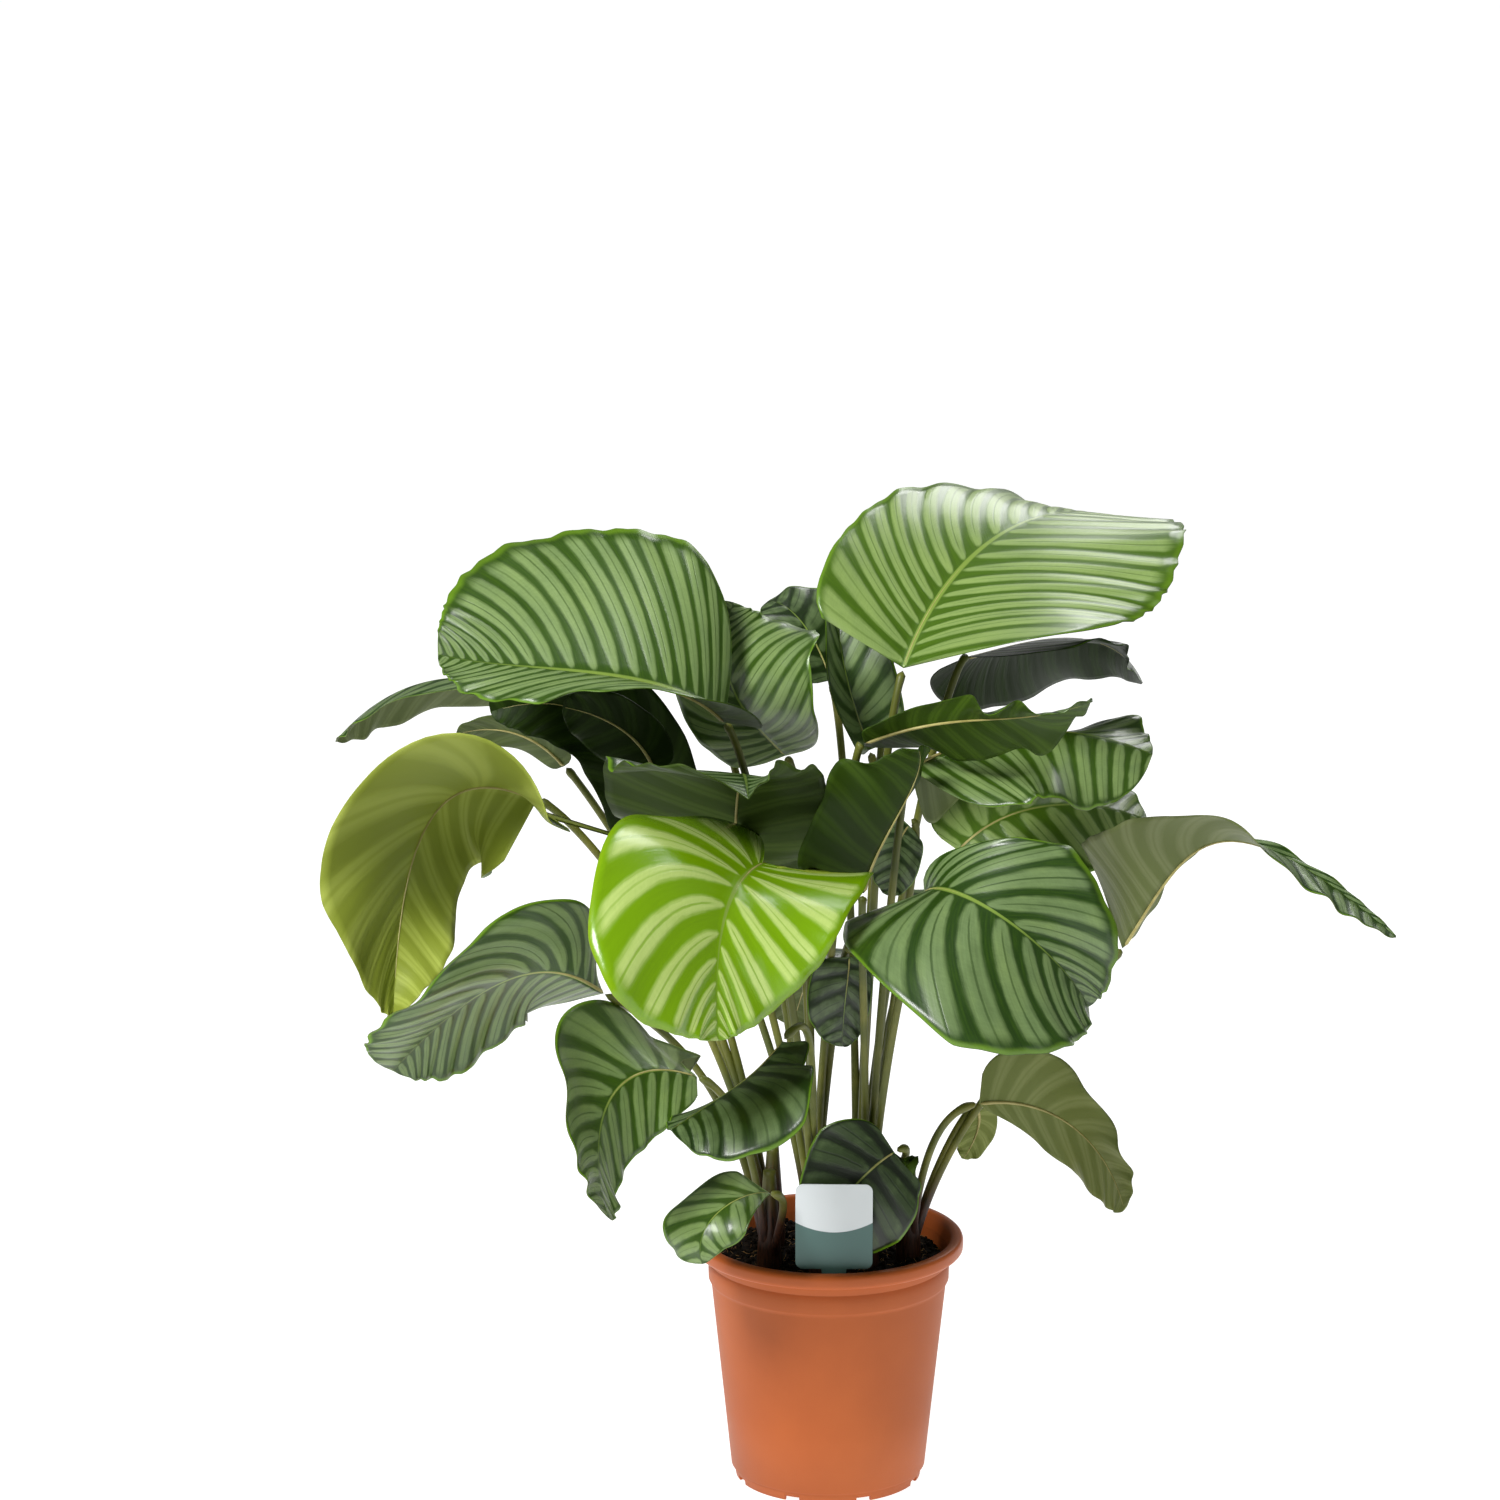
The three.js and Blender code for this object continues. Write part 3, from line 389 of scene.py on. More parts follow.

# One line of the table is a leaf, from its stalk's end to its tip, with the left half as seen along the rib
# from above given first. rib holds the curve's control points, face the way that the upper side looks at
# the stalk, half the widths, fold how far each half is raised in degrees, curl how much it bends on its
# way out, _mid and _tip the same half way and at the tip, twist the blade's turn about its rib, wave the
# margin's height, count and start, lobe how far the blade reaches back, sweep how far the veins lean to
# the tip, broad and blunt the outline, pull, rise and drop the stalk's ends, bands how many stripes a
# half has, tint how bright the upper side is and under how yellow and bright the underside is. Both hold
# the leaf's own colour together with painted shade, low on blades that lie in shadow, and painted light,
# high on lit or backlit blades.
LEAVES = [
    dict(name="leaf_top_left", shoot="shoot_centre",
         rib=((-80, -40, 615), (-115, -100, 675), (-240, -35, 650), (-295, -55, 670)),
         face=(0.2, -0.4, 0.9), half=(65, 135), fold=(30, 45), fold_mid=(5, 40), fold_tip=(-35, 20),
         curl=(0, -5), twist=(0, 5), lobe=(0, -0.05), sweep=(0.4, 0.45), broad=(0.65, 1.2),
         blunt=(2.2, 4.9), pull=50, bands=20, tint_light_and_shade=0.42, under=0.15),
    dict(name="leaf_top_right", shoot="shoot_back_right",
         rib=((55, -30, 655), (75, 10, 710), (140, 100, 785), (250, 145, 730)), face=(0.1, -0.8, 0.5),
         half=(90, 165), fold=(30, 45), fold_mid=(5, 10), fold_tip=(-25, 20), curl=(0, -15),
         twist=(15, 35), lobe=(-0.1, -0.1), sweep=(0.35, 0.45), broad=(0.55, 0.65), blunt=(5.2, 3.6),
         pull=60, bands=21, tint_light_and_shade=0.65, under=0.2),
    dict(name="leaf_top_right_lower", shoot="shoot_back_right",
         rib=((105, 35, 650), (140, 115, 640), (220, 150, 665), (245, 125, 610)), face=(0.1, 0.8, 0.6),
         half=(75, 90), fold=(-5, -15), fold_mid=(-35, -10), fold_tip=(10, -25), lobe=(-0.05, -0.05),
         sweep=(0.25, 0.3), broad=(0.8, 1.05), blunt=(2.4, 2.5), tint_light_and_shade=0.1, under=0.02),
    dict(name="leaf_twisted", shoot="shoot_centre",
         rib=((25, -85, 610), (100, -45, 630), (130, -175, 640), (190, -185, 665)), face=(0, 1, 0.1),
         half=(45, 20), fold=(40, 0), fold_mid=(-20, 25), fold_tip=(20, -10), twist=(-25, -70),
         wave=(6, 3, 0), lobe=(-0.1, 0.1), sweep=(0.05, 0.2), broad=(0.9, 1.1), blunt=(3.8, 3.8),
         pull=12, tint_light_and_shade=0.2, under=0.15),
    dict(name="leaf_right_shelf", shoot="shoot_front_right",
         rib=((60, -60, 585), (130, 25, 605), (195, -20, 610), (245, -15, 585)), face=(-0.1, -0.1, 1),
         half=(70, 90), fold=(-85, -40), fold_mid=(-30, -25), fold_tip=(30, -50), twist=(10, 10),
         wave=(4, 2, 0), lobe=(0.05, 0), sweep=(0.4, 0.2), broad=(0.95, 0.9), blunt=(2.7, 3.1), pull=8,
         tint_light_and_shade=0.45, under=0.3),
    dict(name="leaf_centre_turned", shoot="shoot_front_right",
         rib=((25, -90, 495), (30, -75, 530), (75, -75, 580), (65, -105, 610)), face=(-0.2, 1, 0),
         half=(20, 75), fold=(80, -10), fold_mid=(80, -20), fold_tip=(80, -10), twist=(-15, 10),
         wave=(4, 2, 0), lobe=(0.05, 0.1), sweep=(0.3, 0.4), broad=(0.85, 0.65), blunt=(2.3, 2.9),
         pull=20, rise=(0, 5, 180), tint_light_and_shade=0.2, under=0.12),
    dict(name="leaf_centre_narrow", shoot="shoot_front_right",
         rib=((60, -40, 535), (50, -40, 525), (50, -40, 505), (45, -40, 480)), face=(0, -0.9, 0.3),
         half=(20, 20), pull=25, drop=2, tint_light_and_shade=0.2, under=0.15),
    dict(name="leaf_crown_left", shoot="shoot_centre",
         rib=((-35, 40, 570), (-60, 5, 605), (-95, 0, 635), (-75, 45, 690)), face=(-0.2, -1, 0),
         half=(45, 90), fold=(10, 10), fold_mid=(10, 30), fold_tip=(10, -15), twist=(10, -10),
         lobe=(0.05, -0.1), sweep=(0.4, 0.45), broad=(0.85, 1.15), blunt=(2.3, 2.4), bands=15, tint_light_and_shade=0.45,
         under=0.15),
    dict(name="leaf_crown_narrow", shoot="shoot_back_right",
         rib=((30, 40, 575), (15, 40, 615), (5, 50, 650), (5, 70, 685)), face=(0.5, -0.8, 0.1),
         half=(35, 40), fold=(40, 40), sweep=(0.4, 0.4), tint_light_and_shade=0.35, under=0.15),
    dict(name="leaf_crown_back", shoot="shoot_back_right",
         rib=((0, 130, 610), (-10, 140, 640), (-30, 150, 670), (-50, 170, 665)), face=(0.2, -0.5, 0.8),
         half=(35, 45), tint_light_and_shade=0.1, under=0.15),
    dict(name="leaf_centre_cupped", shoot="shoot_front",
         rib=((-70, -40, 490), (-75, -85, 565), (-65, -25, 600), (-60, -180, 590)), face=(0, 1, 0.1),
         half=(70, 105), fold=(45, 30), fold_mid=(-10, 0), fold_tip=(45, 45), twist=(20, -20),
         wave=(4, 3, 0), lobe=(0.3, 0.1), sweep=(0.35, 0.2), broad=(0.6, 0.85), blunt=(2.3, 3), bands=15,
         tint_light_and_shade=0.25, under=0.18),
    dict(name="leaf_lime", shoot="shoot_front",
         rib=((-50, -135, 530), (-75, -240, 545), (-85, -260, 505), (-80, -280, 435)),
         face=(0.3, -0.6, 0.7), half=(85, 115), fold=(15, 5), fold_mid=(10, 10), fold_tip=(10, 15),
         curl=(20, -30), twist=(-5, 20), lobe=(0.4, 0.6), sweep=(0.45, 0.45), broad=(0.75, 2.1),
         blunt=(2.4, 2), pull=30, drop=2.5, bands=12, tint_light_and_shade=0.6, under=0.9),
    dict(name="leaf_right_broad", shoot="shoot_front_right",
         rib=((70, -125, 505), (85, -250, 555), (165, -230, 495), (190, -205, 440)),
         face=(-0.3, -0.5, 0.8), half=(80, 115), fold=(70, 15), fold_mid=(-5, 10), fold_tip=(20, 55),
         curl=(5, -5), twist=(0, -20), lobe=(-0.1, 0.35), sweep=(0.45, 0.4), broad=(1.3, 1.55),
         blunt=(1.3, 1.3), drop=2.5, tint_light_and_shade=0.32, under=0.15),
    dict(name="leaf_right_reaching", shoot="shoot_right",
         rib=((225, -5, 430), (270, -75, 530), (285, -35, 575), (425, -100, 465)), face=(0.4, 0.9, 0.2),
         half=(10, 70), fold=(80, 45), fold_mid=(60, -15), fold_tip=(80, -5), twist=(0, -85),
         lobe=(0.05, -0.1), sweep=(0.15, 0.15), broad=(0.35, 0.35), blunt=(1.7, 1.3), tint_light_and_shade=0.3,
         under=0.38),
    dict(name="leaf_left_hanging", shoot="shoot_back_left",
         rib=((-225, 0, 545), (-315, -10, 590), (-330, -25, 495), (-330, -100, 395)),
         face=(0.1, 0.9, 0.4), half=(125, 85), fold=(-60, -55), fold_mid=(-15, 10), fold_tip=(-25, -90),
         curl=(15, -20), twist=(5, -15), lobe=(0.25, -0.1), sweep=(0.45, 0.25), broad=(0.7, 0.4),
         blunt=(1.3, 1.3), bands=11, tint_light_and_shade=0.4, under=0.7),
    dict(name="leaf_left_low", shoot="shoot_front_left",
         rib=((-170, -105, 420), (-185, -145, 440), (-225, -160, 490), (-325, -160, 375)),
         face=(0.4, -0.9, -0.1), half=(65, 70), fold=(-60, -40), fold_mid=(-25, 35), fold_tip=(20, 5),
         curl=(10, -30), twist=(-15, 30), lobe=(0.1, 0), sweep=(0.4, 0.35), broad=(1.2, 1.65),
         blunt=(3, 4.5), pull=205, bands=17, tint_light_and_shade=0.4, under=0.3),
    dict(name="leaf_front_left_drooping", shoot="shoot_front_left",
         rib=((-100, -105, 355), (-155, -150, 390), (-185, -200, 360), (-160, -290, 305)),
         face=(-0.1, -0.7, 0.7), half=(50, 70), fold=(-15, -25), fold_mid=(-20, 5), fold_tip=(0, -5),
         curl=(0, 20), twist=(-20, 20), lobe=(-0.05, 0.4), sweep=(0.25, 0.35), broad=(0.75, 0.75),
         blunt=(1.9, 3.3), tint_light_and_shade=0.45, under=0.3),
    dict(name="leaf_front_crescent", shoot="shoot_front",
         rib=((-35, -145, 395), (-60, -150, 365), (-65, -200, 380), (-115, -255, 360)),
         face=(0, -0.7, 0.7), half=(75, 30), fold=(5, -60), fold_mid=(25, -60), fold_tip=(-5, -60),
         twist=(-25, 20), lobe=(0.25, 0.1), sweep=(0.35, 0.3), broad=(1.4, 0.85), blunt=(1.3, 2.3),
         rise=(-8, 12, 180), tint_light_and_shade=0.2, under=0.15),
    dict(name="leaf_front_small", shoot="shoot_front_left",
         rib=((-45, -110, 265), (-65, -130, 275), (-105, -160, 260), (-95, -160, 225)),
         face=(-0.1, -0.5, 0.9), half=(30, 50), fold=(15, 0), fold_mid=(-5, -20), fold_tip=(-25, -15),
         twist=(-10, -5), lobe=(-0.05, 0.15), sweep=(0.3, 0.3), broad=(1.3, 1), blunt=(1.3, 3.2),
         pull=30, rise=(5, -5, 50), tint_light_and_shade=0.45, under=0.3),
    # Deep in shadow behind the tag: its tint of 0 and its low under value are painted shade.
    dict(name="leaf_behind_tag", shoot="shoot_front_right",
         rib=((50, -70, 285), (30, -75, 275), (10, -80, 250), (-15, -80, 220)), face=(0, -1, 0.1),
         half=(55, 50), fold_mid=(0, 0), fold_tip=(0, 0), twist=(-10, 0), lobe=(0.2, 0),
         sweep=(0.25, 0.3), broad=(1.05, 0.6), blunt=(2, 1.3), pull=30, tint_light_and_shade=0, under=0.15),
    dict(name="leaf_right_low", shoot="shoot_right",
         rib=((115, -40, 315), (160, -15, 315), (210, -40, 300), (225, -100, 250)), face=(0, 1, 0.3),
         half=(40, 60), fold=(-10, 10), fold_mid=(5, -20), fold_tip=(-10, 15), twist=(10, -10),
         lobe=(-0.05, 0), sweep=(0.3, 0.3), broad=(1.3, 0.65), blunt=(1.3, 1.3), tint_light_and_shade=0.4, under=0.44),
    dict(name="leaf_right_bud", shoot="shoot_right",
         rib=((115, 10, 295), (120, 20, 285), (115, 25, 265), (105, 25, 250)), face=(0, 0.9, 0.3),
         half=(15, 15), pull=20, tint_light_and_shade=0.4, under=0.5),
    dict(name="leaf_far_left", shoot="shoot_back_left",
         rib=((-215, 150, 595), (-280, 160, 610), (-340, 170, 615), (-395, 170, 550)), face=(0, 0.3, 1),
         half=(40, 40), fold=(-20, -30), tint_light_and_shade=0.3, under=0.3),
    dict(name="leaf_left_rolled", shoot="shoot_back_left",
         rib=((-140, 90, 480), (-150, 80, 575), (-185, 80, 620), (-265, 80, 595)), face=(-0.1, 0.5, 0.8),
         half=(50, 40), fold=(0, -40), tint_light_and_shade=0.1, under=0.05),
    dict(name="leaf_left_sliver", shoot="shoot_back_left",
         rib=((-210, 130, 540), (-235, 130, 570), (-270, 130, 575), (-295, 130, 565)),
         face=(0, 0.6, 0.8), half=(20, 20), tint_light_and_shade=0.3, under=0.25),
    dict(name="leaf_under_top_left", shoot="shoot_centre",
         rib=((-135, 10, 565), (-145, 10, 595), (-175, 10, 610), (-205, 10, 615)), face=(0, 0.9, 0.4),
         half=(25, 30), tint_light_and_shade=0.1, under=0.05),
    dict(name="leaf_right_lit", shoot="shoot_back_right",
         rib=((100, 80, 485), (135, 100, 520), (195, 110, 525), (250, 120, 500)), face=(0, -0.3, 0.9),
         half=(60, 70), fold=(0, -20), tint_light_and_shade=0.7, under=0.9),
    dict(name="leaf_inner_round", shoot="shoot_centre",
         rib=((15, -35, 430), (15, -40, 415), (10, -40, 390), (10, -40, 360)), face=(0, -1, 0.1),
         half=(20, 30), tint_light_and_shade=0.1, under=0.1),
    dict(name="leaf_back_left", shoot="shoot_centre",
         rib=((-45, 110, 455), (-90, 150, 465), (-120, 200, 430), (-145, 220, 350)), face=(0, 0, 1),
         half=(60, 60), curl=(-20, -20), tint_light_and_shade=0.3, under=0.3),
    dict(name="leaf_back_right", shoot="shoot_back_right",
         rib=((85, 110, 435), (120, 150, 450), (155, 210, 410), (170, 230, 330)), face=(0, 0, 1),
         half=(60, 60), curl=(-20, -20), tint_light_and_shade=0.4, under=0.3),
    dict(name="leaf_back_upper_left", shoot="shoot_centre",
         rib=((-105, 120, 630), (-125, 150, 655), (-160, 190, 655), (-195, 230, 610)), face=(0, 0, 1),
         half=(50, 55), curl=(-20, -20), tint_light_and_shade=0.5, under=0.3),
    dict(name="leaf_back_upper_right", shoot="shoot_back_right",
         rib=((55, 155, 650), (70, 195, 660), (95, 250, 665), (115, 310, 620)), face=(0, 0, 1),
         half=(50, 50), curl=(-20, -20), tint_light_and_shade=0.4, under=0.3),
    dict(name="leaf_back_low", shoot="shoot_centre",
         rib=((0, 80, 395), (-5, 120, 410), (-15, 190, 365), (-30, 210, 305)), face=(0, 0, 1),
         half=(45, 45), curl=(-20, -20), tint_light_and_shade=0.3, under=0.3),
]
LEAF = dict(fold=(0, 0), curl=(0, 0), twist=(0, 0), wave=(0, 3, 0), lobe=(0.06, 0.06), sweep=(0.3, 0.3),
            broad=(0.85, 0.85), blunt=(2.3, 2.3), pull=45, rise=None, drop=0, tint_light_and_shade=0.3, under=0.3)
LEAVES = [{**LEAF, **leaf} for leaf in LEAVES]


def bezier(points, t):
    a, b, c, d = points
    return (1 - t) ** 3 * a + 3 * (1 - t) ** 2 * t * b + 3 * (1 - t) * t * t * c + t ** 3 * d


def stalk_curve(leaf):
    """The stalk's control points: out of the sheath, and into line with the rib."""
    base, toward = Vector(leaf["rib"][0]), Vector(leaf["rib"][1])
    in_line = (toward - base).normalized()
    above = Vector(leaf["face"])
    base -= (above - in_line * above.dot(in_line)).normalized() * leaf["drop"]
    foot = Vector((*SHOOTS[leaf["shoot"]], SOIL_TOP - 10))
    lean = base - foot
    rise = Vector(leaf["rise"] or (0.12 * lean.x, 0.12 * lean.y, 0.45 * lean.length))
    return [foot, foot + rise, base - in_line * leaf["pull"], base - in_line * 2]


def stalk_radius(share, length):
    """4 mm in the sheath, 3 mm along the stalk, a swelling of 25 mm below the blade, and a thin end."""
    if share < 0.3:
        return STALK_RADIUS + 1 - share / 0.3
    from_blade = (1 - share) * length
    swelling = 0.55 * math.exp(-((from_blade - 14) / 9) ** 2)
    thin = max(0, 1 - from_blade / 12)
    return STALK_RADIUS + swelling - (STALK_RADIUS - STALK_TIP_RADIUS) * thin


def stalk_skin(start):
    place = start.node("TexCoord", "Object")
    z = start.node("SeparateXYZ", "Z", inputs={0: place})
    stretched = start.node("Mapping", inputs={"Vector": place, "Scale": (1, 1, 0.12)})
    streaks = start.node("TexNoise", inputs={"Vector": stretched, "Scale": 700, "Detail": 3})
    blotch = start.node("TexNoise", inputs={"Vector": place, "Scale": 25, "Detail": 3})
    green = blotch.ramp((0.3, sRGB(72, 84, 20)), (0.55, sRGB(108, 112, 36)), (0.75, sRGB(142, 138, 58)))
    brown = streaks.ramp((0.3, sRGB(26, 15, 9)), (0.7, sRGB(84, 48, 28)))
    dry = (z + 0.03 * blotch).step(0.235, 0.285)
    return {
        "Base Color": dry.mix(brown, (0.5 * streaks).mix(green, sRGB(70, 76, 22))),
        "Roughness": 0.42 + 0.15 * streaks,
        "Normal": start.node("Bump", inputs={"Strength": 0.5, "Distance": 0.0003, "Height": streaks}),
    }


stalk_material = material("stalk_skin", stalk_skin)
for shoot, (x, y) in SHOOTS.items():
    stems = bmesh.new()
    for leaf in LEAVES:
        if leaf["shoot"] != shoot:
            continue
        curve = stalk_curve(leaf)
        points = [bezier(curve, i / STALK_STEPS) * MM for i in range(STALK_STEPS + 1)]
        length = sum((b - a).length for a, b in zip(points, points[1:])) / MM
        radii = [stalk_radius(i / STALK_STEPS, length) * MM for i in range(STALK_STEPS + 1)]
        radii[0] = radii[-1] = 0
        points[1] = points[0].lerp(points[1], 0.1)
        tube(stems, points, radii, 14)
    heights = [-SHEATH_DEPTH, -SHEATH_DEPTH + 0.1, -20, 0, 8, 20, 32, 44, 56, 66, 74, 78.9, 79]
    sheath = [SHEATH_RADIUS * (1 if h < 6 else 1 - 0.5 * (h - 6) / 69) * MM for h in heights]
    sheath[0] = sheath[-1] = 0
    tube(stems, [Vector((x, y, SOIL_TOP + h)) * MM for h in heights], sheath, 20)
    closed(stems, 0.000001)
    piece(shoot.replace("shoot", "stalks"), stems, [stalk_material], "stalk", shoot)

# Leaves. Each blade is one thin, firm, pleated sheet on its rib: silver bands raised between dark green
# ones that follow the veins, a plain green rim, a pale midrib that stands out as a keel below, and an
# olive underside on which the bands show faintly. Every blade has its own roll, fold and lean.
BLADE_THICKNESS = 0.6
CELLS_ALONG = 140
CELLS_ACROSS = 13
RIB_STEPS = 90
PLEAT = 0.55
RUFFLE = 2.2
SCALLOP = 0.012
KEEL_RADIUS = 1.5
KEEL_STEPS = 40
CAD_EDGE = 0.985


def rib_of(leaf):
    """The rib as places, tangents and upper normals at even steps of its length."""
    control = [Vector(point) for point in leaf["rib"]]
    fine = [bezier(control, i / 400) for i in range(401)]
    travelled = [0]
    for a, b in zip(fine, fine[1:]):
        travelled.append(travelled[-1] + (b - a).length)
    length = travelled[-1]
    places, k = [], 0
    for i in range(RIB_STEPS + 1):
        goal = length * i / RIB_STEPS
        while k < 399 and travelled[k + 1] < goal:
            k += 1
        places.append(fine[k].lerp(fine[k + 1], (goal - travelled[k]) / (travelled[k + 1] - travelled[k])))
    ends = [(places[max(i - 1, 0)], places[min(i + 1, RIB_STEPS)]) for i in range(RIB_STEPS + 1)]
    tangents = [(ahead - behind).normalized() for behind, ahead in ends]
    normals, normal = [], Vector(leaf["face"])
    for tangent in tangents:
        normal = (normal - tangent * normal.dot(tangent)).normalized()
        normals.append(normal)
    return dict(length=length, places=places, tangents=tangents, normals=normals)


def at(values, share):
    i = min(int(share * RIB_STEPS), RIB_STEPS - 1)
    return values[i].lerp(values[i + 1], share * RIB_STEPS - i)


def along(leaf, key, side, share):
    """A bend in radians that runs from the stalk's end to the tip, through a middle value if it has one."""
    first, last = leaf[key][side], leaf.get(key + "_tip", leaf[key])[side]
    middle = leaf.get(key + "_mid")
    if middle is None:
        return math.radians(first + (last - first) * share)
    bend = first * (1 - share) * (1 - 2 * share) + 4 * middle[side] * share * (1 - share)
    return math.radians(bend + last * share * (2 * share - 1))


def blade_point(leaf, rib, side, vein, out, relief=0):
    """A point of the blade: vein says where its vein leaves the rib, out how far along the vein it is."""
    reach = vein + leaf["sweep"][side] * math.sin(math.pi * vein) * (1 - 0.35 * vein)
    round_off = abs(2 * min(reach, 1) ** leaf["broad"][side] - 1) ** leaf["blunt"][side]
    back = math.cos(math.pi / 2 * min(vein / 0.35, 1)) ** 2 * math.sin(math.pi / 2 * min(vein / 0.08, 1))
    across = leaf["half"][side] * math.sqrt(max(1 - round_off, 0)) * out
    leaned = (reach - vein) * (0.6 * out + 0.4 * out * out)
    up = rib["length"] * (vein + leaned - leaf["lobe"][side] * back * out)
    share = min(max(up / rib["length"], 0), 1)
    tangent = at(rib["tangents"], share).normalized()
    upright = at(rib["normals"], share).normalized()
    start, end = leaf["twist"]
    turn = math.radians(start + (end - start) * share * share * (3 - 2 * share))
    level = upright.cross(tangent).normalized()
    normal = upright * math.cos(turn) + level * math.sin(turn)
    outward = (level * math.cos(turn) - upright * math.sin(turn)) * (1 if side == 0 else -1)
    width = leaf["half"][side]
    fold = along(leaf, "fold", side, share)
    curl = along(leaf, "curl", side, share) or 1e-4
    angle = fold + curl * across / width
    height, count, first = leaf["wave"]
    ruffle = height * out * out * math.sqrt(max(math.sin(math.pi * vein), 0))
    rise = relief + ruffle * math.sin(2 * math.pi * (count * vein + first + (0 if side == 0 else 0.37)))
    return (at(rib["places"], share) + tangent * (up - share * rib["length"])
            + outward * ((math.sin(angle) - math.sin(fold)) / curl * width - rise * math.sin(angle))
            + normal * ((math.cos(fold) - math.cos(angle)) / curl * width + rise * math.cos(angle)))


def leaf_face(grounds, silvers, rim, narrow, gloss):
    """The upper side's finish. Ground and bands each run from painted shade through a grown to a young leaf's
    colour.
    """
    def finish(start):
        blade = start.node("UVMap", uv_map="blade")
        bands = start.node("UVMap", uv_map="bands")
        out = abs(start.node("SeparateXYZ", "X", inputs={0: blade}) * 2 - 1)
        vein = start.node("SeparateXYZ", "Y", inputs={0: blade})
        band = start.node("SeparateXYZ", "X", inputs={0: bands})
        tint_light_and_shade = start.node("SeparateXYZ", "Y", inputs={0: bands})
        brushed = start.node("CombineXYZ", inputs={0: band * 16, 1: out * 4})
        streaks = start.node("TexNoise", inputs={"Vector": brushed, "Scale": 1, "Detail": 5,
                                                 "Roughness": 0.6})
        wide = start.node("CombineXYZ", inputs={0: band * 1.3, 1: out * 3})
        drift = start.node("TexNoise", inputs={"Vector": wide, "Scale": 1, "Detail": 3})
        crossed = start.node("CombineXYZ", inputs={0: band * 5, 1: out * 60})
        weave = start.node("TexNoise", inputs={"Vector": crossed, "Scale": 1, "Detail": 2})
        centre = 1 - abs(band.math("FRACT", band) * 2 - 1)
        width = out.ramp((0.01, 0.1), (0.06, 0.45), (0.20, 0.68), (0.65, 0.76), (0.92, 0.68), (0.985, 0.35))
        ragged = centre + 0.16 * (streaks - 0.5) + 0.30 * (drift - 0.5)
        inner = out.step(0.008, 0.05) * (1 - (out + 0.08 * (drift - 0.5)).step(0.88, 0.985))
        silvered = (ragged + width).step(0.90 + narrow, 1.26 + narrow) * inner
        number = start.node("TexWhiteNoise", noise_dimensions="1D", inputs={"W": band.math("FLOOR", band)})
        hairline = (1 - centre + 0.10 * (streaks - 0.5)).step(0.10, 0.02)
        hairline = hairline * (0.35 + 0.65 * number) * out.step(0.08, 0.2)
        silvered = silvered * (1 - 0.75 * hairline)
        # Low tints are painted shade on blades in shadow, high ones painted light on lit blades and a young
        # leaf's colour.
        ground = (tint_light_and_shade + 0.5 * (streaks - 0.5)).ramp(*zip((0, 0.3, 0.9), grounds))
        light = (tint_light_and_shade + 0.5 * (drift - 0.5)).ramp(*zip((0, 0.3, 0.9), silvers))
        base = (silvered * (0.80 + 0.4 * (streaks - 0.5) + 0.25 * (weave - 0.5))).mix(ground, light)
        base = (out + 0.04 * (drift - 0.5)).step(0.955, 0.99).mix(base, rim)
        midrib = (0.024 - out).step(0, 0.012) * (1 - 0.7 * vein.step(0.45, 0.95))
        base = (0.85 * midrib).mix(base, sRGB(132, 158, 66))
        relief = 0.6 * silvered + 0.45 * streaks + 0.2 * weave
        return {
            "Base Color": base,
            "Roughness": gloss + 0.06 * silvered + 0.10 * drift,
            "Specular IOR Level": 0.5,
            "Coat Weight": 0.2,
            "Coat Roughness": 0.16,
            "Normal": start.node("Bump", inputs={"Strength": 0.6, "Distance": 0.0005, "Height": relief}),
        }
    return finish


def leaf_underside(start):
    blade = start.node("UVMap", uv_map="blade")
    bands = start.node("UVMap", uv_map="bands")
    under_tone_and_light = start.node("SeparateXYZ", "Y", inputs={0: start.node("UVMap", uv_map="under")})
    out = abs(start.node("SeparateXYZ", "X", inputs={0: blade}) * 2 - 1)
    band = start.node("SeparateXYZ", "X", inputs={0: bands})
    brushed = start.node("CombineXYZ", inputs={0: band * 7, 1: out * 3})
    streaks = start.node("TexNoise", inputs={"Vector": brushed, "Scale": 1, "Detail": 3})
    centre = 1 - abs(band.math("FRACT", band) * 2 - 1)
    pale = (centre + 0.4 * (streaks - 0.5)).step(0.30, 0.80)
    # Low under values are painted shade on undersides in shadow, high ones yellow with a painted backlight
    # glow.
    dark = under_tone_and_light.ramp((0, sRGB(14, 30, 0)), (0.15, sRGB(44, 66, 6)), (0.38, sRGB(94, 104, 60)),
                     (0.68, sRGB(134, 146, 54)), (1, sRGB(128, 158, 26)))
    light = under_tone_and_light.ramp((0, sRGB(22, 42, 2)), (0.15, sRGB(60, 84, 16)), (0.38, sRGB(110, 118, 78)),
                      (0.68, sRGB(160, 172, 78)), (1, sRGB(160, 184, 56)))
    groove = (1 - centre + 0.1 * (streaks - 0.5)).step(0.16, 0.02)
    relief = pale + 0.6 * streaks
    return {
        "Base Color": (0.5 * groove).mix(pale.mix(dark, light), dark),
        "Roughness": 0.44 + 0.1 * streaks,
        "Specular IOR Level": 0.15,
        "Normal": start.node("Bump", inputs={"Strength": 0.6, "Distance": 0.0005, "Height": relief}),
    }


def keel_skin(start):
    place = start.node("TexCoord", "Object")
    tone = start.node("TexNoise", inputs={"Vector": place, "Scale": 90, "Detail": 2})
    return {"Base Color": tone.ramp((0.3, sRGB(150, 140, 78)), (0.7, sRGB(186, 176, 112))), "Roughness": 0.45}


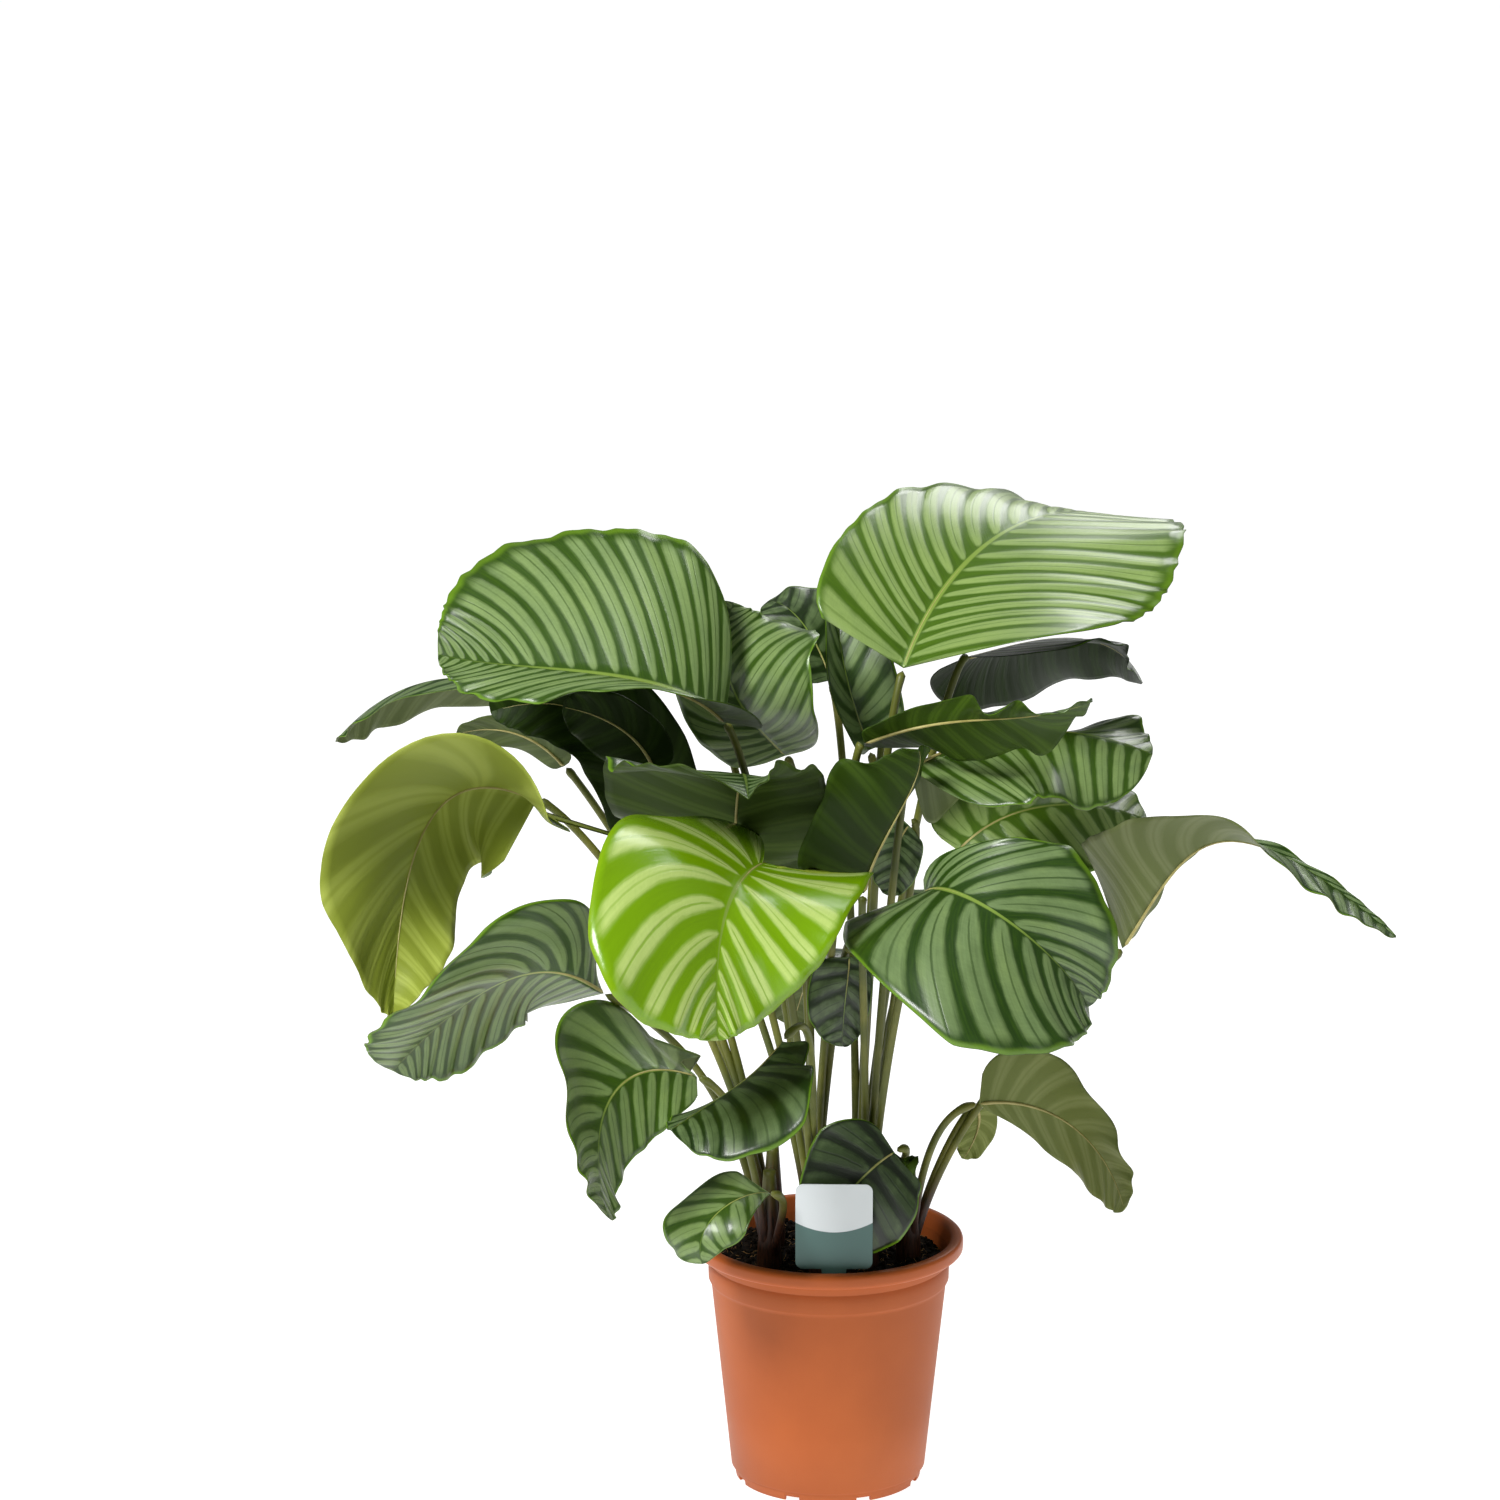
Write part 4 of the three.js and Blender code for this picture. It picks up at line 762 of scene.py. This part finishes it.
green_face = material("leaf_green", leaf_face(
    (sRGB(16, 30, 4), sRGB(34, 62, 8), sRGB(82, 118, 14)),
    (sRGB(58, 78, 38), sRGB(116, 140, 88), sRGB(158, 184, 100)), sRGB(96, 134, 24), 0, 0.30))
lime_face = material("leaf_lime", leaf_face(
    (sRGB(88, 126, 0), sRGB(104, 144, 0), sRGB(118, 162, 0)),
    (sRGB(164, 184, 88), sRGB(178, 200, 104), sRGB(200, 220, 138)), sRGB(122, 162, 2), 0.17, 0.18))
underside = material("leaf_underside", leaf_underside)
keel = material("leaf_keel", keel_skin)

for number, leaf in enumerate(LEAVES):
    rib = rib_of(leaf)
    pace = random.Random(number)
    bands = leaf.get("bands", max(6, round(rib["length"] / 17)))
    shift = [pace.uniform(0, 0.3), pace.uniform(0.4, 0.7)]
    beat = [pace.uniform(0.36, 0.52), pace.uniform(0.2, 0.3), pace.uniform(0, 6)]
    blade = bmesh.new()
    blade_uv = blade.loops.layers.uv.new("blade")
    bands_uv = blade.loops.layers.uv.new("bands")
    under_uv = blade.loops.layers.uv.new("under")
    bmesh.ops.create_grid(blade, x_segments=2 * CELLS_ACROSS, y_segments=CELLS_ALONG, size=1)

    def band_at(vein, side):
        return bands * (vein + 0.05 * math.sin(2 * math.pi * vein)) + shift[side]

    for face in blade.faces:
        side = 0 if face.calc_center_median().x < 0 else 1
        for loop in face.loops:
            vein = (loop.vert.co.y + 1) / 2
            loop[blade_uv].uv = (0.5 + loop.vert.co.x / 2, vein)
            # tint and under carry painted shade and painted light besides the leaf's own colour.
            loop[bands_uv].uv = (band_at(vein, side) + 40 * number, leaf["tint_light_and_shade"])
            loop[under_uv].uv = (0, leaf["under"])
    for vert in blade.verts:
        side = 0 if vert.co.x < 0 else 1
        vein, out = (vert.co.y + 1) / 2, abs(vert.co.x)
        swell = 1 - abs(2 * (band_at(vein, side) % 1) - 1)
        ends = math.sin(math.pi * min(max(vein, 0), 1))
        window = min(1, out / 0.15) * min(1, (1 - out) / 0.1 + 0.15) * ends ** 0.3
        band = band_at(vein, side) + 3 * side
        sway = math.sin(2 * math.pi * beat[0] * band + beat[2]) + 0.7 * math.sin(2 * math.pi * beat[1] * band)
        lift = PLEAT * (swell - 0.5) * window
        lift += RUFFLE * sway * out ** 3 * ends ** 0.5
        reach = out * (CAD_EDGE - SCALLOP * out * out * (1 - swell))
        vert.co = blade_point(leaf, rib, side, vein, reach, lift) * MM
    bmesh.ops.remove_doubles(blade, verts=blade.verts, dist=0.00001)
    upper = set(blade.faces)
    bmesh.ops.solidify(blade, geom=blade.faces[:], thickness=BLADE_THICKNESS * MM)
    sheet = set(blade.faces)
    keel_at, keel_radii = [], []
    for i in range(KEEL_STEPS + 1):
        radius = 0 if i in (0, KEEL_STEPS) else KEEL_RADIUS * (1 - 0.85 * (i / KEEL_STEPS) ** 0.8)
        depth = -BLADE_THICKNESS / 2 - 0.6 * radius
        keel_at.append(blade_point(leaf, rib, 0, i / KEEL_STEPS, 0, depth) * MM)
        keel_radii.append(radius * MM)
    tube(blade, keel_at, keel_radii, 8)
    bmesh.ops.remove_doubles(blade, verts=blade.verts, dist=0.000001)
    bmesh.ops.recalc_face_normals(blade, faces=blade.faces)
    for face in blade.faces:
        face.smooth = True
        face.material_index = 0 if face in upper else 1 if face in sheet else 2
    face_material = lime_face if leaf["name"] == "leaf_lime" else green_face
    piece(leaf["name"].replace("leaf", "blade"), blade, [face_material, underside, keel],
          "leaf_lime" if leaf["name"] == "leaf_lime" else "leaf_green", leaf["name"])

# Floor and light. A pale plain floor, a large soft light from the upper left in front, a weaker one from the
# right, one from behind for the leaves' edges, and an even white surround.
floor = bpy.data.objects.new("floor", bpy.data.meshes.new("floor"))
ground = bmesh.new()
bmesh.ops.create_grid(ground, x_segments=1, y_segments=1, size=30)
ground.to_mesh(floor.data)
ground.free()
floor.data.materials.append(material("floor_white", lambda start: {
    "Base Color": (0.35, 0.35, 0.35, 1), "Roughness": 0.9, "Emission Color": (1, 1, 1, 1),
    "Emission Strength": 0.97}))
bpy.context.scene.collection.objects.link(floor)

for name, place, size, power in (
    ("key", (-1.3, -1.7, 2.6), 0.9, 104),
    ("fill", (2.2, -2.6, 1.2), 1.6, 7),
    ("back", (0.8, 2.0, 2.2), 1.4, 34),
):
    light = bpy.data.objects.new(name, bpy.data.lights.new(name, "AREA"))
    light.data.size = size
    light.data.energy = power
    light.location = place
    light.rotation_mode = "QUATERNION"
    light.rotation_quaternion = (Vector((0, 0, 0.45)) - Vector(place)).to_track_quat("-Z", "Y")
    bpy.context.scene.collection.objects.link(light)

surround = bpy.data.worlds.new("surround")
surround.use_nodes = True
sky = Wire(surround.node_tree)
seen = sky.node("LightPath", "Is Camera Ray")
background = surround.node_tree.nodes["Background"]
background.inputs["Color"].default_value = (1, 1, 1, 1)
surround.node_tree.links.new((0.12 + 0.88 * seen).socket, background.inputs["Strength"])
bpy.context.scene.world = surround
bpy.context.scene.view_settings.view_transform = "Standard"
